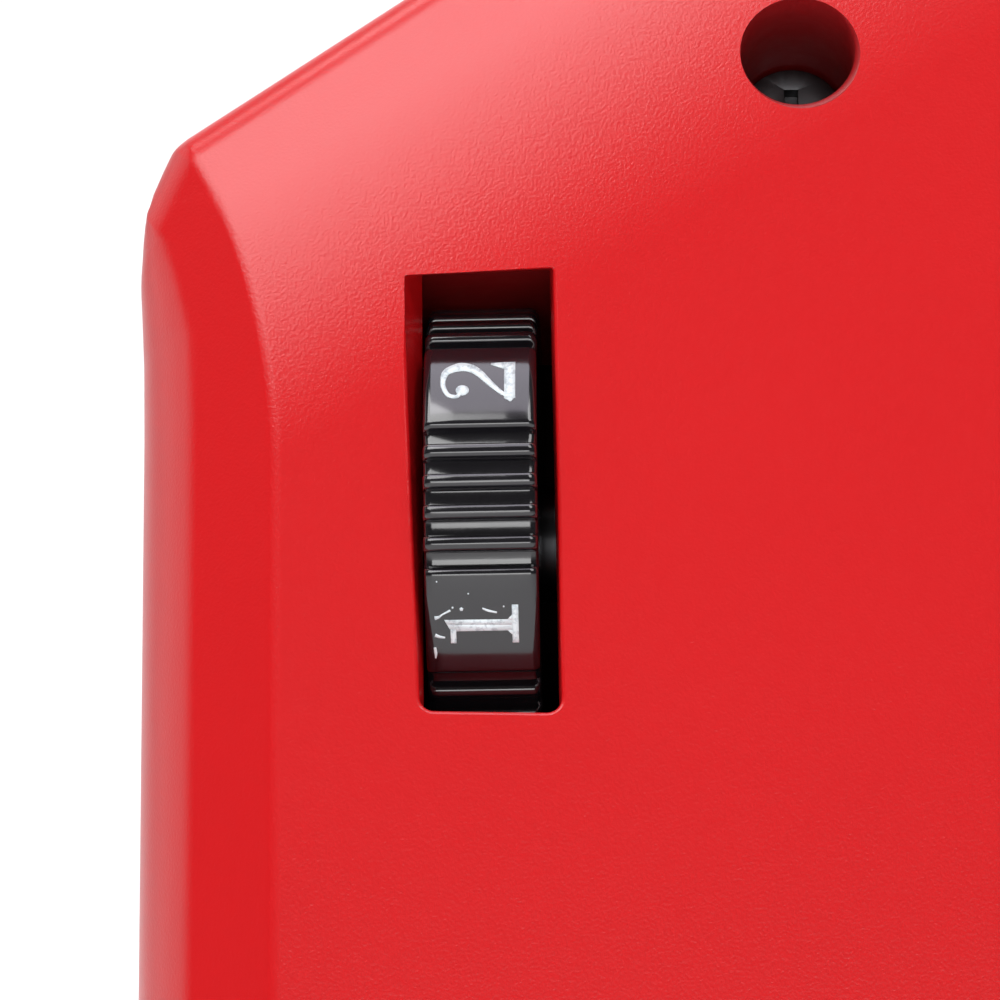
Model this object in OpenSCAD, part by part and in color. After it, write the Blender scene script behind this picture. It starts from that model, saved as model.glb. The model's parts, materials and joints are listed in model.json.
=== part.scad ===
// Bench-top key duplicating machine: cast base, variable-speed cutter spindle,
// tracer, tilting twin-vise carriage, belt drive and a leaning control console.
// +Z up, X along the spindle, the operator stands on the -Y side.
// Origin: middle of the footprint, on the surface the rubber feet stand on.

/* [Base] */
// Overall width of the base casting
base_w = 320; // [316:1:330]
// Depth of the base casting behind the origin
base_back = 140; // [139:1:150]
// Depth of the base casting in front of the origin
base_front = 130; // [126:1:134]
// Height of the base casting
base_h = 36; // [36:1:44]
// Height of the rubber feet
foot_h = 10; // [8:1:16]
// Diameter of the rubber feet
foot_d = 32; // [28:1:34]
// Distance between the feet, left to right
foot_span_x = 270; // [266:1:274]
// Distance between the feet, front to back
foot_span_y = 210; // [204:1:214]
// Wall thickness of the base casting
base_wall = 6; // [5:0.5:6]

/* [Spindle] */
// Height of the spindle axis over the base deck
spindle_h = 92; // [91:1:94]
// Spindle diameter in the bearings
shaft_d = 15; // [15:1:15]
// Outside diameter of the spindle bearings
bearing_od = 32; // [31:0.5:33]
// Width of a spindle bearing
bearing_w = 9; // [8:0.5:10]
// Diameter of the cutter wheel
cutter_d = 80; // [74:1:81]
// Thickness of the cutter wheel
cutter_t = 5; // [4:0.5:5]
// Number of cutter teeth
cutter_teeth = 56; // [36:2:72]
// Diameter of the deburring brush
brush_d = 76; // [66:1:80]

/* [Carriage] */
// Lean of the parked carriage toward the operator
park_lean = 14; // [13:0.5:14]
// Diameter of the carriage shaft
rail_d = 14; // [13:0.5:14]
// Distance between the two vises, equal to the distance from tracer to cutter
vise_pitch = 95; // [95:1:95]
// Diameter of the clamp knobs
clamp_knob_d = 25; // [20:1:26]
// Diameter of the handle ball
ball_d = 30; // [24:1:34]

/* [Console] */
// Width of the console housing
console_w = 98; // [97:0.5:98]
// Height of the console housing over the base deck
console_h = 149; // [147:1:151]
// Backward lean of the console front
face_lean = 12; // [11:0.5:13]
// Wall thickness of the console housing
wall = 3; // [2.5:0.25:3.25]
// Slot width for the speed dial
slot_w = 7.3; // [6.8:0.1:8]
// Slot length for the speed dial
slot_l = 22.3; // [21:0.1:24]
// Speed dial diameter
dial_d = 24.4; // [23.6:0.1:24.6]
// Speed dial width
dial_w = 5.6; // [4.8:0.1:5.8]
// Depth of the dial axis under the console front
dial_depth = 10.8; // [10.6:0.1:11.2]

/* [Drive] */
// Running diameter of the spindle pulley
big_pulley_d = 66; // [56:1:68]
// Running diameter of the motor pulley
small_pulley_d = 34; // [30:1:38]
// Belt width
belt_w = 12; // [10:0.5:12]
// Belt thickness
belt_t = 2.4; // [1.8:0.1:2.6]
// Motor diameter
motor_d = 70; // [60:1:70]

/* [Hidden] */
$fn = 48;
hw = base_w/2;
deck = foot_h + base_h;
sy = 28;                       // spindle axis, front to back
sz = deck + spindle_h;         // spindle axis height
tx = 1;                        // tracer and pattern vise
cx = tx + vise_pitch;          // cutter and blank vise
my = 97;                       // motor axis
mz = deck + 42;
py = -32;                      // carriage shaft
pz = deck + 34;
left = -160;                   // outer left side of the console
ux = 17.9;                     // dial slot centre from the left side
dial_x = left + ux;
dial_y = -84;
dial_z = deck + 100;
top_z = deck + console_h - dial_z;
ur = console_w - ux;
slope = 32.95;                 // roof slope
facet_turn = 31;            // shoulder facet turn in the face plane
facet_at = 13.8;              // shoulder facet start
facet_tilt = 17;
pulley_x = -92;                // middle of the belt
rb = big_pulley_d/2;
rs = small_pulley_d/2;
head0 = -8; head1 = 70;

// ---------- helpers ----------
function unit(v) = v/norm(v);
function turn(a) = a > 180 ? a - 360 : a < -180 ? a + 360 : a;
function fil(a, b, c, q, n) = q <= 0.02 ? [b] :
  let(u = unit(a-b), v = unit(c-b), h = acos(u*v)/2,
      t = min(q/tan(h), 0.96*min(norm(a-b), norm(c-b))), r = t*tan(h),
      m = b + unit(u+v)*r/sin(h), p = b + u*t - m, e = b + v*t - m,
      a0 = atan2(p.y, p.x), da = turn(atan2(e.y, e.x) - a0))
  [for (i = [0:n]) m + r*[cos(a0 + da*i/n), sin(a0 + da*i/n)]];
function rounded(p, r, n=6) = let(k = len(p))
  [for (i = [0:k-1]) each fil(p[(i+k-1)%k], p[i], p[(i+1)%k], r[i], n)];
function cross2(a, b) = a.x*b.y - a.y*b.x;
function meet(p, d, q, e) = p + d*cross2(q-p, e)/cross2(d, e);
function nrm(a, b) = let(d = unit(b-a)) [-d.y, d.x];
// shrink a counter-clockwise polygon by d on every side
function inset(p, d) = let(k = len(p)) [for (i = [0:k-1])
  let(a = p[(i+k-1)%k], b = p[i], c = p[(i+1)%k], n0 = nrm(a, b), n1 = nrm(b, c))
  meet(a + n0*d, b-a, b + n1*d, c-b)];
function less(r, d) = [for (x = r) max(0, x-d)];

module on_face() translate([dial_x, dial_y, dial_z]) rotate([90-face_lean, 0, 0]) children();
module on_carriage() translate([0, py, pz]) rotate([park_lean, 0, 0]) children();
module rod(x0, x1, y, z, r) translate([x0, y, z]) rotate([0, 90, 0]) cylinder(h=x1-x0, r=r);
module xrod(x0, x1, r) rod(x0, x1, sy, sz, r);
module yrod(x, y0, y1, z, r) translate([x, y1, z]) rotate([90, 0, 0]) cylinder(h=y1-y0, r=r);
module box(a, b) translate(a) cube(b-a);
// prism along X from a [y, z] outline
module yz(x0, x1, pts) translate([x0, 0, 0]) rotate([90, 0, 90]) linear_extrude(x1-x0) polygon(pts);
// prism along Y from an [x, z] outline
module xz(y0, y1, pts) translate([0, y1, 0]) rotate([90, 0, 0]) linear_extrude(y1-y0) polygon(pts);
module rbox(a, b, r) {
  linear_extrude_at(a.z, b.z-a.z) polygon(rounded([[a.x,a.y],[b.x,a.y],[b.x,b.y],[a.x,b.y]], [r,r,r,r]));
}
module linear_extrude_at(z, h) translate([0, 0, z]) linear_extrude(h) children();
// socket-head screw, head up, underside of the head at the origin
module cap_screw(d, l, hd, hh) difference() {
  union() { translate([0,0,-l]) cylinder(h=l, d=d); cylinder(h=hh, d=hd); }
  translate([0,0,hh*0.45]) cylinder(h=hh, d=d*0.9, $fn=6);
}
// cross-recess pan-head screw
module pan_screw(d, l, hd, hh) difference() {
  union() { translate([0,0,-l]) cylinder(h=l, d=d); cylinder(h=hh, d=hd); }
  translate([-hd*0.3, -d*0.12, hh*0.5]) cube([hd*0.6, d*0.24, hh]);
  translate([-d*0.12, -hd*0.3, hh*0.5]) cube([d*0.24, hd*0.6, hh]);
}

// ---------- console envelope ----------
// section square to the front: rounded edge, bevel, flat face, mirrored on the right
sec_half = [[-ux, -320], [-ux, -6.84], [-ux+3.25, -2.97], [-ux+7.65, 0]];
sec = concat(
  [for (p = sec_half) [ur - ux - p.x, p.y]],
  [for (i = [3:-1:0]) sec_half[i]]);
sec_r = [0, 13.9, 0, 0, 0, 0, 13.9, 0];
// outline seen from the front
roof_x = -12.1; roof_z = 20.9;
function roof_at(u) = roof_z + (u - roof_x)*tan(slope);
steep = 62.5;
st_x = -16.88; st_z = 16.55;
out_a = [-ux, st_z + (-ux - st_x)*tan(steep)];
out_b = meet([st_x, st_z], [cos(steep), sin(steep)], [roof_x, roof_z], [cos(slope), sin(slope)]);
out_c = [roof_x + (top_z - roof_z)/tan(slope), top_z];
outline = [[-ux, -200], [ur, -200], [ur, top_z], out_c, out_b, out_a];
slim = 0.02;                   // keeps the section prisms off each other's faces
outline_r = [0, 0, 14, 18, 5.5, 5.8];
// shoulder facets beside the roof slope and the flat top
fac = [[-200, -320], [170, -320], [170, -tan(facet_tilt)*(170-facet_at)], [facet_at, 0], [-200, 0]];
top_at = (top_z - 8.5)/cos(face_lean);
fac2 = [[-200, -320], [top_at+120, -320], [top_at+120, -tan(facet_tilt)*120], [top_at, 0], [-200, 0]];
fac_r = [0, 0, 0, 48, 0];
fac2_r = [0, 0, 0, 13, 0];

module console_solid(d, back, bottom) {
  intersection() {
    on_face() rotate([90, 0, 0]) translate([0,0,-200]) linear_extrude(400) polygon(rounded(inset(sec, d), less(sec_r, d)));
    on_face() rotate([0, 0, facet_turn]) translate([-200,0,0]) rotate([90,0,90]) linear_extrude(400) polygon(rounded(inset(fac, d-slim), less(fac_r, d-slim)));
    on_face() translate([-200,0,0]) rotate([90,0,90]) linear_extrude(400) polygon(rounded(inset(fac2, d-slim*2), less(fac2_r, d-slim*2)));
    translate([dial_x, 0, dial_z]) xz(-170, back+9, rounded(inset(outline, d-slim), less(outline_r, d-slim)));
    box([left-1, -160, bottom], [left+console_w+1, back, deck+console_h+1]);
  }
}
face_screws = [[16.1, 22.8], [62, 22.8], [16.1, -66], [62, -66]];
rear_screws = [[-151, deck+12], [-71, deck+12], [-71, deck+138], [-120, deck+133.5]];
sw = [38, -36];                // rocker switch centre on the console front

module console_housing() color([0.78, 0.07, 0.09]) difference() {
  union() {
    difference() { console_solid(0, 135, deck); console_solid(wall, 140, deck-5); }
    // screw pillars behind the front
    intersection() {
      union() {
        on_face() for (s = face_screws) translate([s.x, s.y, -24]) cylinder(h=30, r=4.6);
        for (s = rear_screws) yrod(s.x, 112, 135, s.y, 6.5);
        // foot lugs
        for (p = [[-150, -60], [-150, 100], [-72, 100]]) translate([p.x, p.y, deck]) cylinder(h=8, r=7.5);
      }
      console_solid(0.5, 135, deck);
    }
  }
  // dial slot, slightly wider at the mouth
  on_face() translate([0.1-slot_w/2, -slot_l/2, -wall-3]) cube([slot_w, slot_l, wall+9]);
  // front screw wells
  on_face() for (s = face_screws) translate([s.x, s.y, 0]) {
    translate([0,0,-13]) cylinder(h=20, r=3);
    translate([0,0,-30]) cylinder(h=30, r=1.7);
  }
  // rocker switch window
  on_face() translate([sw.x-9.6, sw.y-14.4, -wall-3]) cube([19.2, 28.8, 12]);
  // spindle and motor shaft passages in the inner side
  rod(-70, -55, sy, sz, 14.3);
  rod(-70, -55, my, mz, 11);
  // rear screw holes
  for (s = rear_screws) yrod(s.x, 118, 140, s.y, 1.6);
  // foot lug screw holes
  for (p = [[-150, -60], [-150, 100], [-72, 100]]) translate([p.x, p.y, deck-1]) cylinder(h=12, r=2.2);
  // cooling slots low on the outer side
  for (i = [0:6]) box([left-2, 20+12*i, deck+22], [left+wall+2, 24+12*i, deck+52]);
}

// ---------- base ----------
feet = [for (x = [-1, 1], y = [-1, 1]) [x*foot_span_x/2, y*foot_span_y/2]];
tray_x0 = -20; tray_x1 = 114;
chute = [60, -58, 110, -6];
module base_casting() color([0.33, 0.35, 0.37]) difference() {
  union() {
    difference() {
      rbox([-hw, -base_front, foot_h], [hw, base_back, deck], 14);
      // pockets open below
      box([-hw+base_wall, -base_front+base_wall, foot_h-1], [tray_x0-7, base_back-base_wall, deck-base_wall]);
      box([tray_x0-1, 18, foot_h-1], [hw-base_wall, base_back-base_wall, deck-base_wall]);
      box([tray_x1+7, -base_front+base_wall, foot_h-1], [hw-base_wall, 12, deck-base_wall]);
    }
    for (f = feet) translate([f.x, f.y, foot_h]) cylinder(h=base_h-1, r=13);
  }
  // tray bay, open at the front
  box([tray_x0, -base_front-1, foot_h+4], [tray_x1, 12, deck-6.5]);
  // chip chute
  box([chute[0], chute[1], deck-8], [chute[2], chute[3], deck+1]);
  // bench bolt holes and foot seats
  for (f = feet) translate([f.x, f.y, foot_h-1]) { cylinder(h=26, r=4.5); cylinder(h=4, r=8); }
  // threaded holes in the deck
  for (s = head_bolts) translate([s.x, s.y, deck-14]) cylinder(h=15, r=4.05);
  for (s = bracket_bolts) translate([s.x, s.y, deck-14]) cylinder(h=15, r=3.05);
  for (p = deck_m4) translate([p.x, p.y, deck-5]) cylinder(h=6, r=2.05);
}
module rubber_feet() color([0.07, 0.07, 0.07]) for (f = feet) translate([f.x, f.y, 0]) difference() {
  union() {
    rotate_extrude() polygon([[0,0],[foot_d/2-1,0],[foot_d/2,1],[foot_d/2-2.5,foot_h],[0,foot_h]]);
    cylinder(h=foot_h+2.8, r=7.9);
  }
  translate([0,0,-1]) cylinder(h=foot_h+8, r=4.5);
  translate([0,0,-0.01]) difference() { cylinder(h=1.2, r=11); translate([0,0,-1]) cylinder(h=4, r=9.5); }
}
tray_pull_x = (tray_x0+tray_x1)/2;
module chip_tray() color([0.62, 0.63, 0.65]) {
  x0 = tray_x0+0.5; x1 = tray_x1-0.5; z0 = foot_h+4.3; z1 = deck-7;
  difference() {
    box([x0, -base_front-0.4, z0], [x1, 11, z1]);
    box([x0+1.5, -base_front+1.2, z0+1.5], [x1-1.5, 9.5, z1+5]);
  }
  // front panel and pull
  box([tray_x0-4, -base_front-2.9, foot_h+1.5], [tray_x1+4, -base_front-0.4, deck-3]);
  difference() {
    box([tray_pull_x-32, -140, deck-14], [tray_pull_x+32, -base_front-2.9, deck-5]);
    box([tray_pull_x-30, -138, deck-15], [tray_pull_x+30, -base_front-2.9, deck-7]);
  }
}

// ---------- spindle head ----------
head_bolts = [[-5, 7], [67, 7], [-5, 46], [67, 46]];
module head_casting() color([0.36, 0.38, 0.40]) difference() {
  union() {
    xrod(head0, head1, 25);
    // pedestal with its flared foot
    yz(4, 58, [[4, deck+4], [50, deck+4], [47, sz-6], [9, sz-6]]);
    rbox([-13, -1, deck], [75, 54, deck+9], 8);
    // pads for tracer and hood on top
    box([-8, 15, sz], [24, 41, sz+26]);
    box([48, 15, sz], [70, 41, sz+26]);
  }
  xrod(head0-1, head1+1, 11);
  xrod(head0-1, head0+bearing_w, bearing_od/2);
  xrod(head1-bearing_w, head1+1, bearing_od/2);
  // side pockets between the ribs
  for (x = [11, 35]) box([x, -2, deck+16], [x+17, 15, sz-34]);
  for (s = head_bolts) translate([s.x, s.y, deck-1]) cylinder(h=12, r=4.3);
  // cap and pad screw holes
  for (a = [45:90:315]) {
    rod(head0-1, head0+8, sy+20.5*cos(a), sz+20.5*sin(a), 1.55);
    rod(head1-8, head1+1, sy+20.5*cos(a), sz+20.5*sin(a), 1.55);
  }
  for (x = holder_x) translate([x, 34, sz+15]) cylinder(h=12, r=2.05);
  for (y = [20, 36]) translate([60, y, sz+15]) cylinder(h=12, r=2.05);
}
module deck_screws() color([0.2, 0.2, 0.21]) {
  for (s = head_bolts) translate([s.x, s.y, deck+9]) cap_screw(8, 14.8, 13, 8);
  for (b = bracket_bolts) translate([b.x, b.y, deck+8]) cap_screw(6, 13.8, 10, 6);
}
module bearing_caps() color([0.62, 0.63, 0.65]) for (x = [head0-5, head1]) difference() {
  xrod(x, x+5, 25);
  xrod(x-1, x+6, 9);
  for (a = [45:90:315]) rod(x-1, x+6, sy+20.5*cos(a), sz+20.5*sin(a), 1.8);
}
module cap_screws() color([0.2, 0.2, 0.21]) for (a = [45:90:315]) {
  translate([head0-5, sy+20.5*cos(a), sz+20.5*sin(a)]) rotate([0,-90,0]) cap_screw(3, 11, 5.5, 3);
  translate([head1+5, sy+20.5*cos(a), sz+20.5*sin(a)]) rotate([0,90,0]) cap_screw(3, 11, 5.5, 3);
}
module spindle_bearings() color([0.75, 0.76, 0.78]) for (x = [head0, head1-bearing_w]) difference() {
  xrod(x, x+bearing_w, bearing_od/2-0.02);
  xrod(x-1, x+bearing_w+1, shaft_d/2+0.04);
  for (q = [x-0.01, x+bearing_w-0.79]) difference() { xrod(q, q+0.8, 13.2); xrod(q-1, q+2, 9.6); }
}
module spindle_shaft() color([0.7, 0.71, 0.73]) {
  xrod(-107, 76, shaft_d/2);
  xrod(76, 86, 11);
  xrod(86, 147, 8);
  translate([147, sy, sz]) rotate([0,90,0]) cylinder(h=1.5, r1=8, r2=6.5);
}
module pulley_on(y, z, r, bore) difference() {
  union() {
    rod(pulley_x-7, pulley_x+7, y, z, r-0.1);
    rod(pulley_x-9, pulley_x-6.4, y, z, r+2.6);
    rod(pulley_x+6.4, pulley_x+9, y, z, r+2.6);
    rod(pulley_x+9, pulley_x+15, y, z, bore+5);
  }
  rod(pulley_x-10, pulley_x+20, y, z, bore+0.02);
}
module spindle_pulley() color([0.68, 0.69, 0.71]) difference() {
  pulley_on(sy, sz, rb, shaft_d/2);
  for (a = [0:60:300]) rod(pulley_x-10, pulley_x+10, sy+20*cos(a), sz+20*sin(a), 5);
}
module motor_pulley() color([0.68, 0.69, 0.71]) pulley_on(my, mz, rs, 5);
module cutter_flanges() color([0.6, 0.61, 0.63]) {
  difference() { xrod(86, 93.5, 20); xrod(85, 95, 8.02); }
  difference() { xrod(93.5+cutter_t, 96.5+cutter_t, 16); xrod(93, 120, 8.02); }
}
// side-and-face milling wheel with angled flanks
tooth = [for (i = [0:cutter_teeth-1]) each
  [for (q = [[0, 1], [0.45, 1], [0.62, 0.93]]) let(a = 360*(i+q.x)/cutter_teeth) cutter_d/2*q.y*[cos(a), sin(a)]]];
module cutter_wheel() color([0.78, 0.72, 0.5]) difference() {
  intersection() {
    translate([93.5, sy, sz]) rotate([0,90,0]) linear_extrude(cutter_t) polygon(tooth);
    translate([93.5, sy, sz]) rotate([0,90,0]) rotate_extrude()
      polygon([[0,0],[cutter_d/2-4.5,0],[cutter_d/2+0.2,cutter_t*0.42],[cutter_d/2+0.2,cutter_t*0.58],[cutter_d/2-4.5,cutter_t],[0,cutter_t]]);
  }
  xrod(90, 100, 8.02);
  for (x = [93.2, 93.5+cutter_t-0.5]) difference() { xrod(x, x+0.8, cutter_d/2-9); xrod(x-1, x+2, 20.5); }
}
module hexnut(x0, x1, af) difference() {
  translate([x0, sy, sz]) rotate([0,90,0]) cylinder(h=x1-x0, d=af/cos(30), $fn=6);
  xrod(x0-1, x1+1, 8.02);
}
module spindle_nuts() color([0.5, 0.5, 0.52]) { hexnut(96.5+cutter_t, 105+cutter_t, 24); hexnut(136.5, 144, 24); }
module brush_hub() color([0.25, 0.25, 0.26]) difference() {
  union() { xrod(113, 136.5, 13); xrod(117, 119, 22); xrod(131, 133, 22); xrod(119, 131, 17); }
  xrod(110, 140, 8.02);
}
module brush_bristles() color([0.82, 0.66, 0.3]) difference() {
  xrod(119.2, 130.8, brush_d/2);
  xrod(119, 132, 17.05);
  difference() { xrod(118, 121.2, brush_d/2+1); translate([119.2, sy, sz]) rotate([0,90,0]) cylinder(h=2, r1=22, r2=brush_d/2); xrod(118, 119.2, 60); }
}

// ---------- tracer ----------
bar_z = sz+36;
holder_x = [-4.2, 19];
module tracer_holder() color([0.36, 0.38, 0.40]) difference() {
  rbox([-8, -4, sz+26], [24, 40, sz+45], 3);
  // dovetail-like square way for the tracer bar
  box([tx-5.1, -5, bar_z-5.1], [tx+5.1, 35, bar_z+5.1]);
  yrod(tx, 30, 42, bar_z, 2.6);
  for (x = holder_x) translate([x, 34, sz+20]) cylinder(h=30, r=2.2);
  translate([holder_x[1], 34, sz+32]) cylinder(h=20, r=4.2);
  translate([holder_x[0], 34, sz+43.5]) cylinder(h=20, r=3.7);
}
// screws of the tracer holder, hood, parking stand, motor cradle and housings
deck_m4 = [[38, -74, 5], [66, -74, 5], [-40, my-30, 5], [-40, my+30, 5], [44, my-30, 5], [44, my+30, 5],
  [146, 68, 6], [146, 128, 6], [-150, -60, 8], [-150, 100, 8], [-72, 100, 8]];
module small_screws() color([0.2, 0.2, 0.21]) {
  translate([holder_x[1], 34, sz+32]) cap_screw(4, 15, 7.5, 4);
  translate([holder_x[0], 34, sz+43.5]) cap_screw(4, 24, 7, 4);
  for (y = [20, 36]) translate([60, y, sz+29]) cap_screw(4, 12, 7.5, 4);
  for (p = deck_m4) translate([p.x, p.y, deck+p.z]) cap_screw(4, p.z+4.5, 7.2, 4);
}
module tracer_finger() color([0.72, 0.73, 0.75]) difference() {
  union() {
    box([tx-5, -12, bar_z-5], [tx+5, 26, bar_z+5]);
    // blade hanging in front, tip level with the cutter
    yz(tx-2.5, tx+2.5, [[-12, bar_z+5], [-12, sz+3.4], [-10.6, sz-4], [-6.5, sz-4], [-5.6, bar_z-6], [-5.6, bar_z+5]]);
  }
  yrod(tx, 8, 27, bar_z, 2.6);
}
module tracer_knob() color([0.66, 0.67, 0.69]) difference() {
  union() {
    yrod(tx, 14, 41, bar_z, 2.5);
    translate([tx, 53, bar_z]) rotate([90,0,0]) linear_extrude(11.5) difference() {
      circle(r=9);
      for (a = [0:15:345]) rotate(a) translate([9.2, 0]) circle(r=0.7, $fn=8);
    }
    yrod(tx, 40.4, 42, bar_z, 6);
  }
  yrod(tx, 51.5, 54, bar_z, 5);
}

// ---------- hood and shield ----------
function wedge(a0, a1) = concat([[0,0]], [for (i = [0:6]) 120*[cos(a0+(a1-a0)*i/6), sin(a0+(a1-a0)*i/6)]]);
module arc_band(x0, x1, r0, r1, a0, a1) translate([x0, sy, sz]) rotate([0,90,0]) linear_extrude(x1-x0)
  intersection() { difference() { circle(r=r1, $fn=96); circle(r=r0, $fn=96); } polygon(wedge(a0, a1)); }
hy = -5; hz = sz+43;
module cutter_hood() color([0.33, 0.35, 0.37]) difference() {
  union() {
    arc_band(84, 140, 43, 45.5, 75, 220);
    arc_band(84, 86, 27, 45.5, 75, 220);
    arc_band(138, 140, 27, 45.5, 75, 220);
    box([50, 16, sz+26], [86, 40, sz+29]);
    // hinge lugs
    for (x = [86, 132]) yz(x, x+6, [[hy-3, hz-4], [8, sz+38], [14, sz+44], [hy+3, hz+4], [hy-3, hz+3]]);
  }
  for (y = [20, 36]) translate([60, y, sz+24]) cylinder(h=8, r=2.2);
  rod(80, 145, hy, hz, 2.02);
}
module shield_pin() color([0.7, 0.71, 0.73]) { rod(84, 140, hy, hz, 2); rod(82.6, 84, hy, hz, 3); rod(140, 141.4, hy, hz, 3); }
module clear_shield() color([0.75, 0.85, 0.9, 0.35]) difference() {
  translate([0, hy, hz]) rotate([5, 0, 0]) union() {
    box([80, -56, -1.5], [144, -7, 1.5]);
    box([94, -8, -1.5], [130, 0, 1.5]);
    rod(94, 130, 0, 0, 4);
  }
  rod(90, 135, hy, hz, 2.08);
}

// ---------- carriage ----------
bracket_bolts = [for (x = [-46, 150], y = [-58, -14]) [x, y]];
module carriage_brackets() color([0.36, 0.38, 0.40]) for (x = [-52, 144]) difference() {
  union() {
    rod(x, x+12, py, pz, 13);
    yz(x+1, x+11, [[-50, deck+4], [-20, deck+4], [py+11, pz], [py-11, pz]]);
    rbox([x, -66, deck], [x+12, -6, deck+8], 4);
  }
  rod(x-1, x+13, py, pz, rail_d/2+0.02);
  for (b = bracket_bolts) translate([b.x, b.y, deck-1]) cylinder(h=12, r=3.3);
}
module carriage_shaft() color([0.8, 0.81, 0.83]) {
  rod(-53, 157, py, pz, rail_d/2);
  translate([157, py, pz]) rotate([0,90,0]) cylinder(h=1, r1=rail_d/2, r2=rail_d/2-1);
}
module park_rest() color([0.36, 0.38, 0.40]) difference() {
  union() {
    rbox([26, -83, deck], [78, -65, deck+5], 4);
    for (x = [26, 72]) yz(x, x+6, [[-80, deck+4], [-68, deck+4], [-70, deck+38], [-78, deck+38]]);
  }
  for (x = [38, 66]) translate([x, -74, deck-1]) cylinder(h=10, r=2.2);
  rod(20, 90, -74, deck+34.2, 3.02);
}
module park_bar() color([0.8, 0.81, 0.83]) rod(25, 79, -74, deck+34.2, 3);
module carriage_bushes() color([0.78, 0.6, 0.28]) for (m = [0, 1]) {
  x0 = m ? 107 : -23; f0 = m ? 128.3 : -26.3;
  difference() {
    union() { rod(m ? x0 : f0+1, m ? f0+1 : x0+20, py, pz, 10); rod(f0, f0+2, py, pz, 13); }
    rod(-40, 150, py, pz, rail_d/2+0.05);
  }
}
module carriage_casting() color([0.36, 0.38, 0.40]) on_carriage() difference() {
  union() {
    for (x = [-24, 106]) { rod(x, x+22, 0, 0, 15); box([x, -12, 0], [x+22, 12, 20]); }
    box([-24, -10, 14], [128, 14, 26]);
    for (x = [-24, 30, 68, 122]) box([x, -10, 6], [x+6, 10, 20]);
    // handle boss
    yrod(52, -24, -8, 20, 9);
    // gauge ears
    for (x = [-24, 123]) yz(x, x+5, [[-21, 26], [-17, 36], [-11, 36], [-6, 22], [-10, 14], [-16, 24]]);
  }
  for (x = [-30, 100]) rod(x, x+34, 0, 0, 10.05);
  for (x = [30, 68]) rod(x-1, x+7, 0, 0, 10.05);
  yrod(52, -25, -12, 20, 5.03);
  rod(-30, 140, -15.5, 31, 3.04);
  for (v = [tx, cx]) for (x = [-9, 9]) {
    translate([v+x, -5, 12]) cylinder(h=20, r=2.6);
    // key access, used before the bushes go in
    translate([v+x, -5, -20]) cylinder(h=34, r=4);
  }
}
module vise_bases() color([0.6, 0.61, 0.63]) on_carriage() for (v = [tx, cx]) difference() {
  union() {
    box([v-14, -10, 26], [v+14, 17, 56.8]);
    box([v-14, -10, 50], [v+14, -4, 69]);
  }
  // relief under the key seat and chip groove
  box([v-15, 6, 55.4], [v+15, 9.5, 60]);
  box([v-15, 12, 34], [v+15, 18, 44]);
  translate([v, 3, 40]) cylinder(h=30, r=4.02);
  for (x = [-9, 9]) translate([v+x, -5, 20]) cylinder(h=20, r=2.05);
}
module vise_screws() color([0.2, 0.2, 0.21]) on_carriage() for (v = [tx, cx]) for (x = [-9, 9])
  translate([v+x, -5, 14]) rotate([180,0,0]) cap_screw(4, 22, 7, 4);
module vise_studs() color([0.55, 0.55, 0.57]) on_carriage() for (v = [tx, cx]) translate([v, 3, 41]) cylinder(h=44, r=4);
module upper_jaw(v) color([0.66, 0.67, 0.69]) on_carriage() difference() {
  union() {
    box([v-13, -3.6, 59.2], [v+13, 14, 70]);
    box([v-13, 9.6, 57.2], [v+13, 17, 66]);
    box([v-13, -3.6, 57.6], [v+13, -1, 60]);
  }
  translate([v, 3, 50]) cylinder(h=30, r=4.3);
  // shallow grip grooves along the jaw
  for (y = [11.2, 13.4, 15.6]) box([v-14, y-0.3, 57], [v+14, y+0.3, 57.5]);
}
module upper_jaw_left() upper_jaw(tx);
module upper_jaw_right() upper_jaw(cx);
module clamp_knob(v) on_carriage() translate([v, 3, 70.3]) difference() {
  union() {
    color([0.06, 0.06, 0.06]) translate([0,0,4]) linear_extrude(13) difference() {
      circle(r=clamp_knob_d/2);
      for (a = [30:60:330]) rotate(a) translate([clamp_knob_d/2+2.4, 0]) circle(r=4.4, $fn=32);
    }
    cylinder(h=4.5, r=7.5);
  }
  translate([0,0,-1]) cylinder(h=16.2, r=4.06);
}
module clamp_knob_left() color([0.06, 0.06, 0.06]) clamp_knob(tx);
module clamp_knob_right() color([0.06, 0.06, 0.06]) clamp_knob(cx);
module handle_rod() color([0.8, 0.81, 0.83]) on_carriage() yrod(52, -76, -12.2, 20, 5);
module handle_ball() color([0.06, 0.06, 0.06]) on_carriage() difference() {
  translate([52, -80, 20]) sphere(d=ball_d, $fn=64);
  yrod(52, -76.1, -60, 20, 5.03);
}
module gauge_rod() color([0.8, 0.81, 0.83]) on_carriage() rod(-25, 129, -15.5, 31, 3);
module gauge_fork() color([0.66, 0.67, 0.69]) on_carriage() translate([0, -15.5, 31]) rotate([20,0,0]) difference() {
  union() for (x = [tx-19.4, cx-19.4]) {
    rod(x-0.4, x+5.2, 0, 0, 5.5);
    box([x, -32, -3], [x+3.6, 0, 3]);
    box([x, -34, -3], [x+3.6, -28, 9]);
    box([x+3, -34, 6], [x+6.4, -28, 9]);
  }
  rod(-40, 140, 0, 0, 3.06);
}

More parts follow.
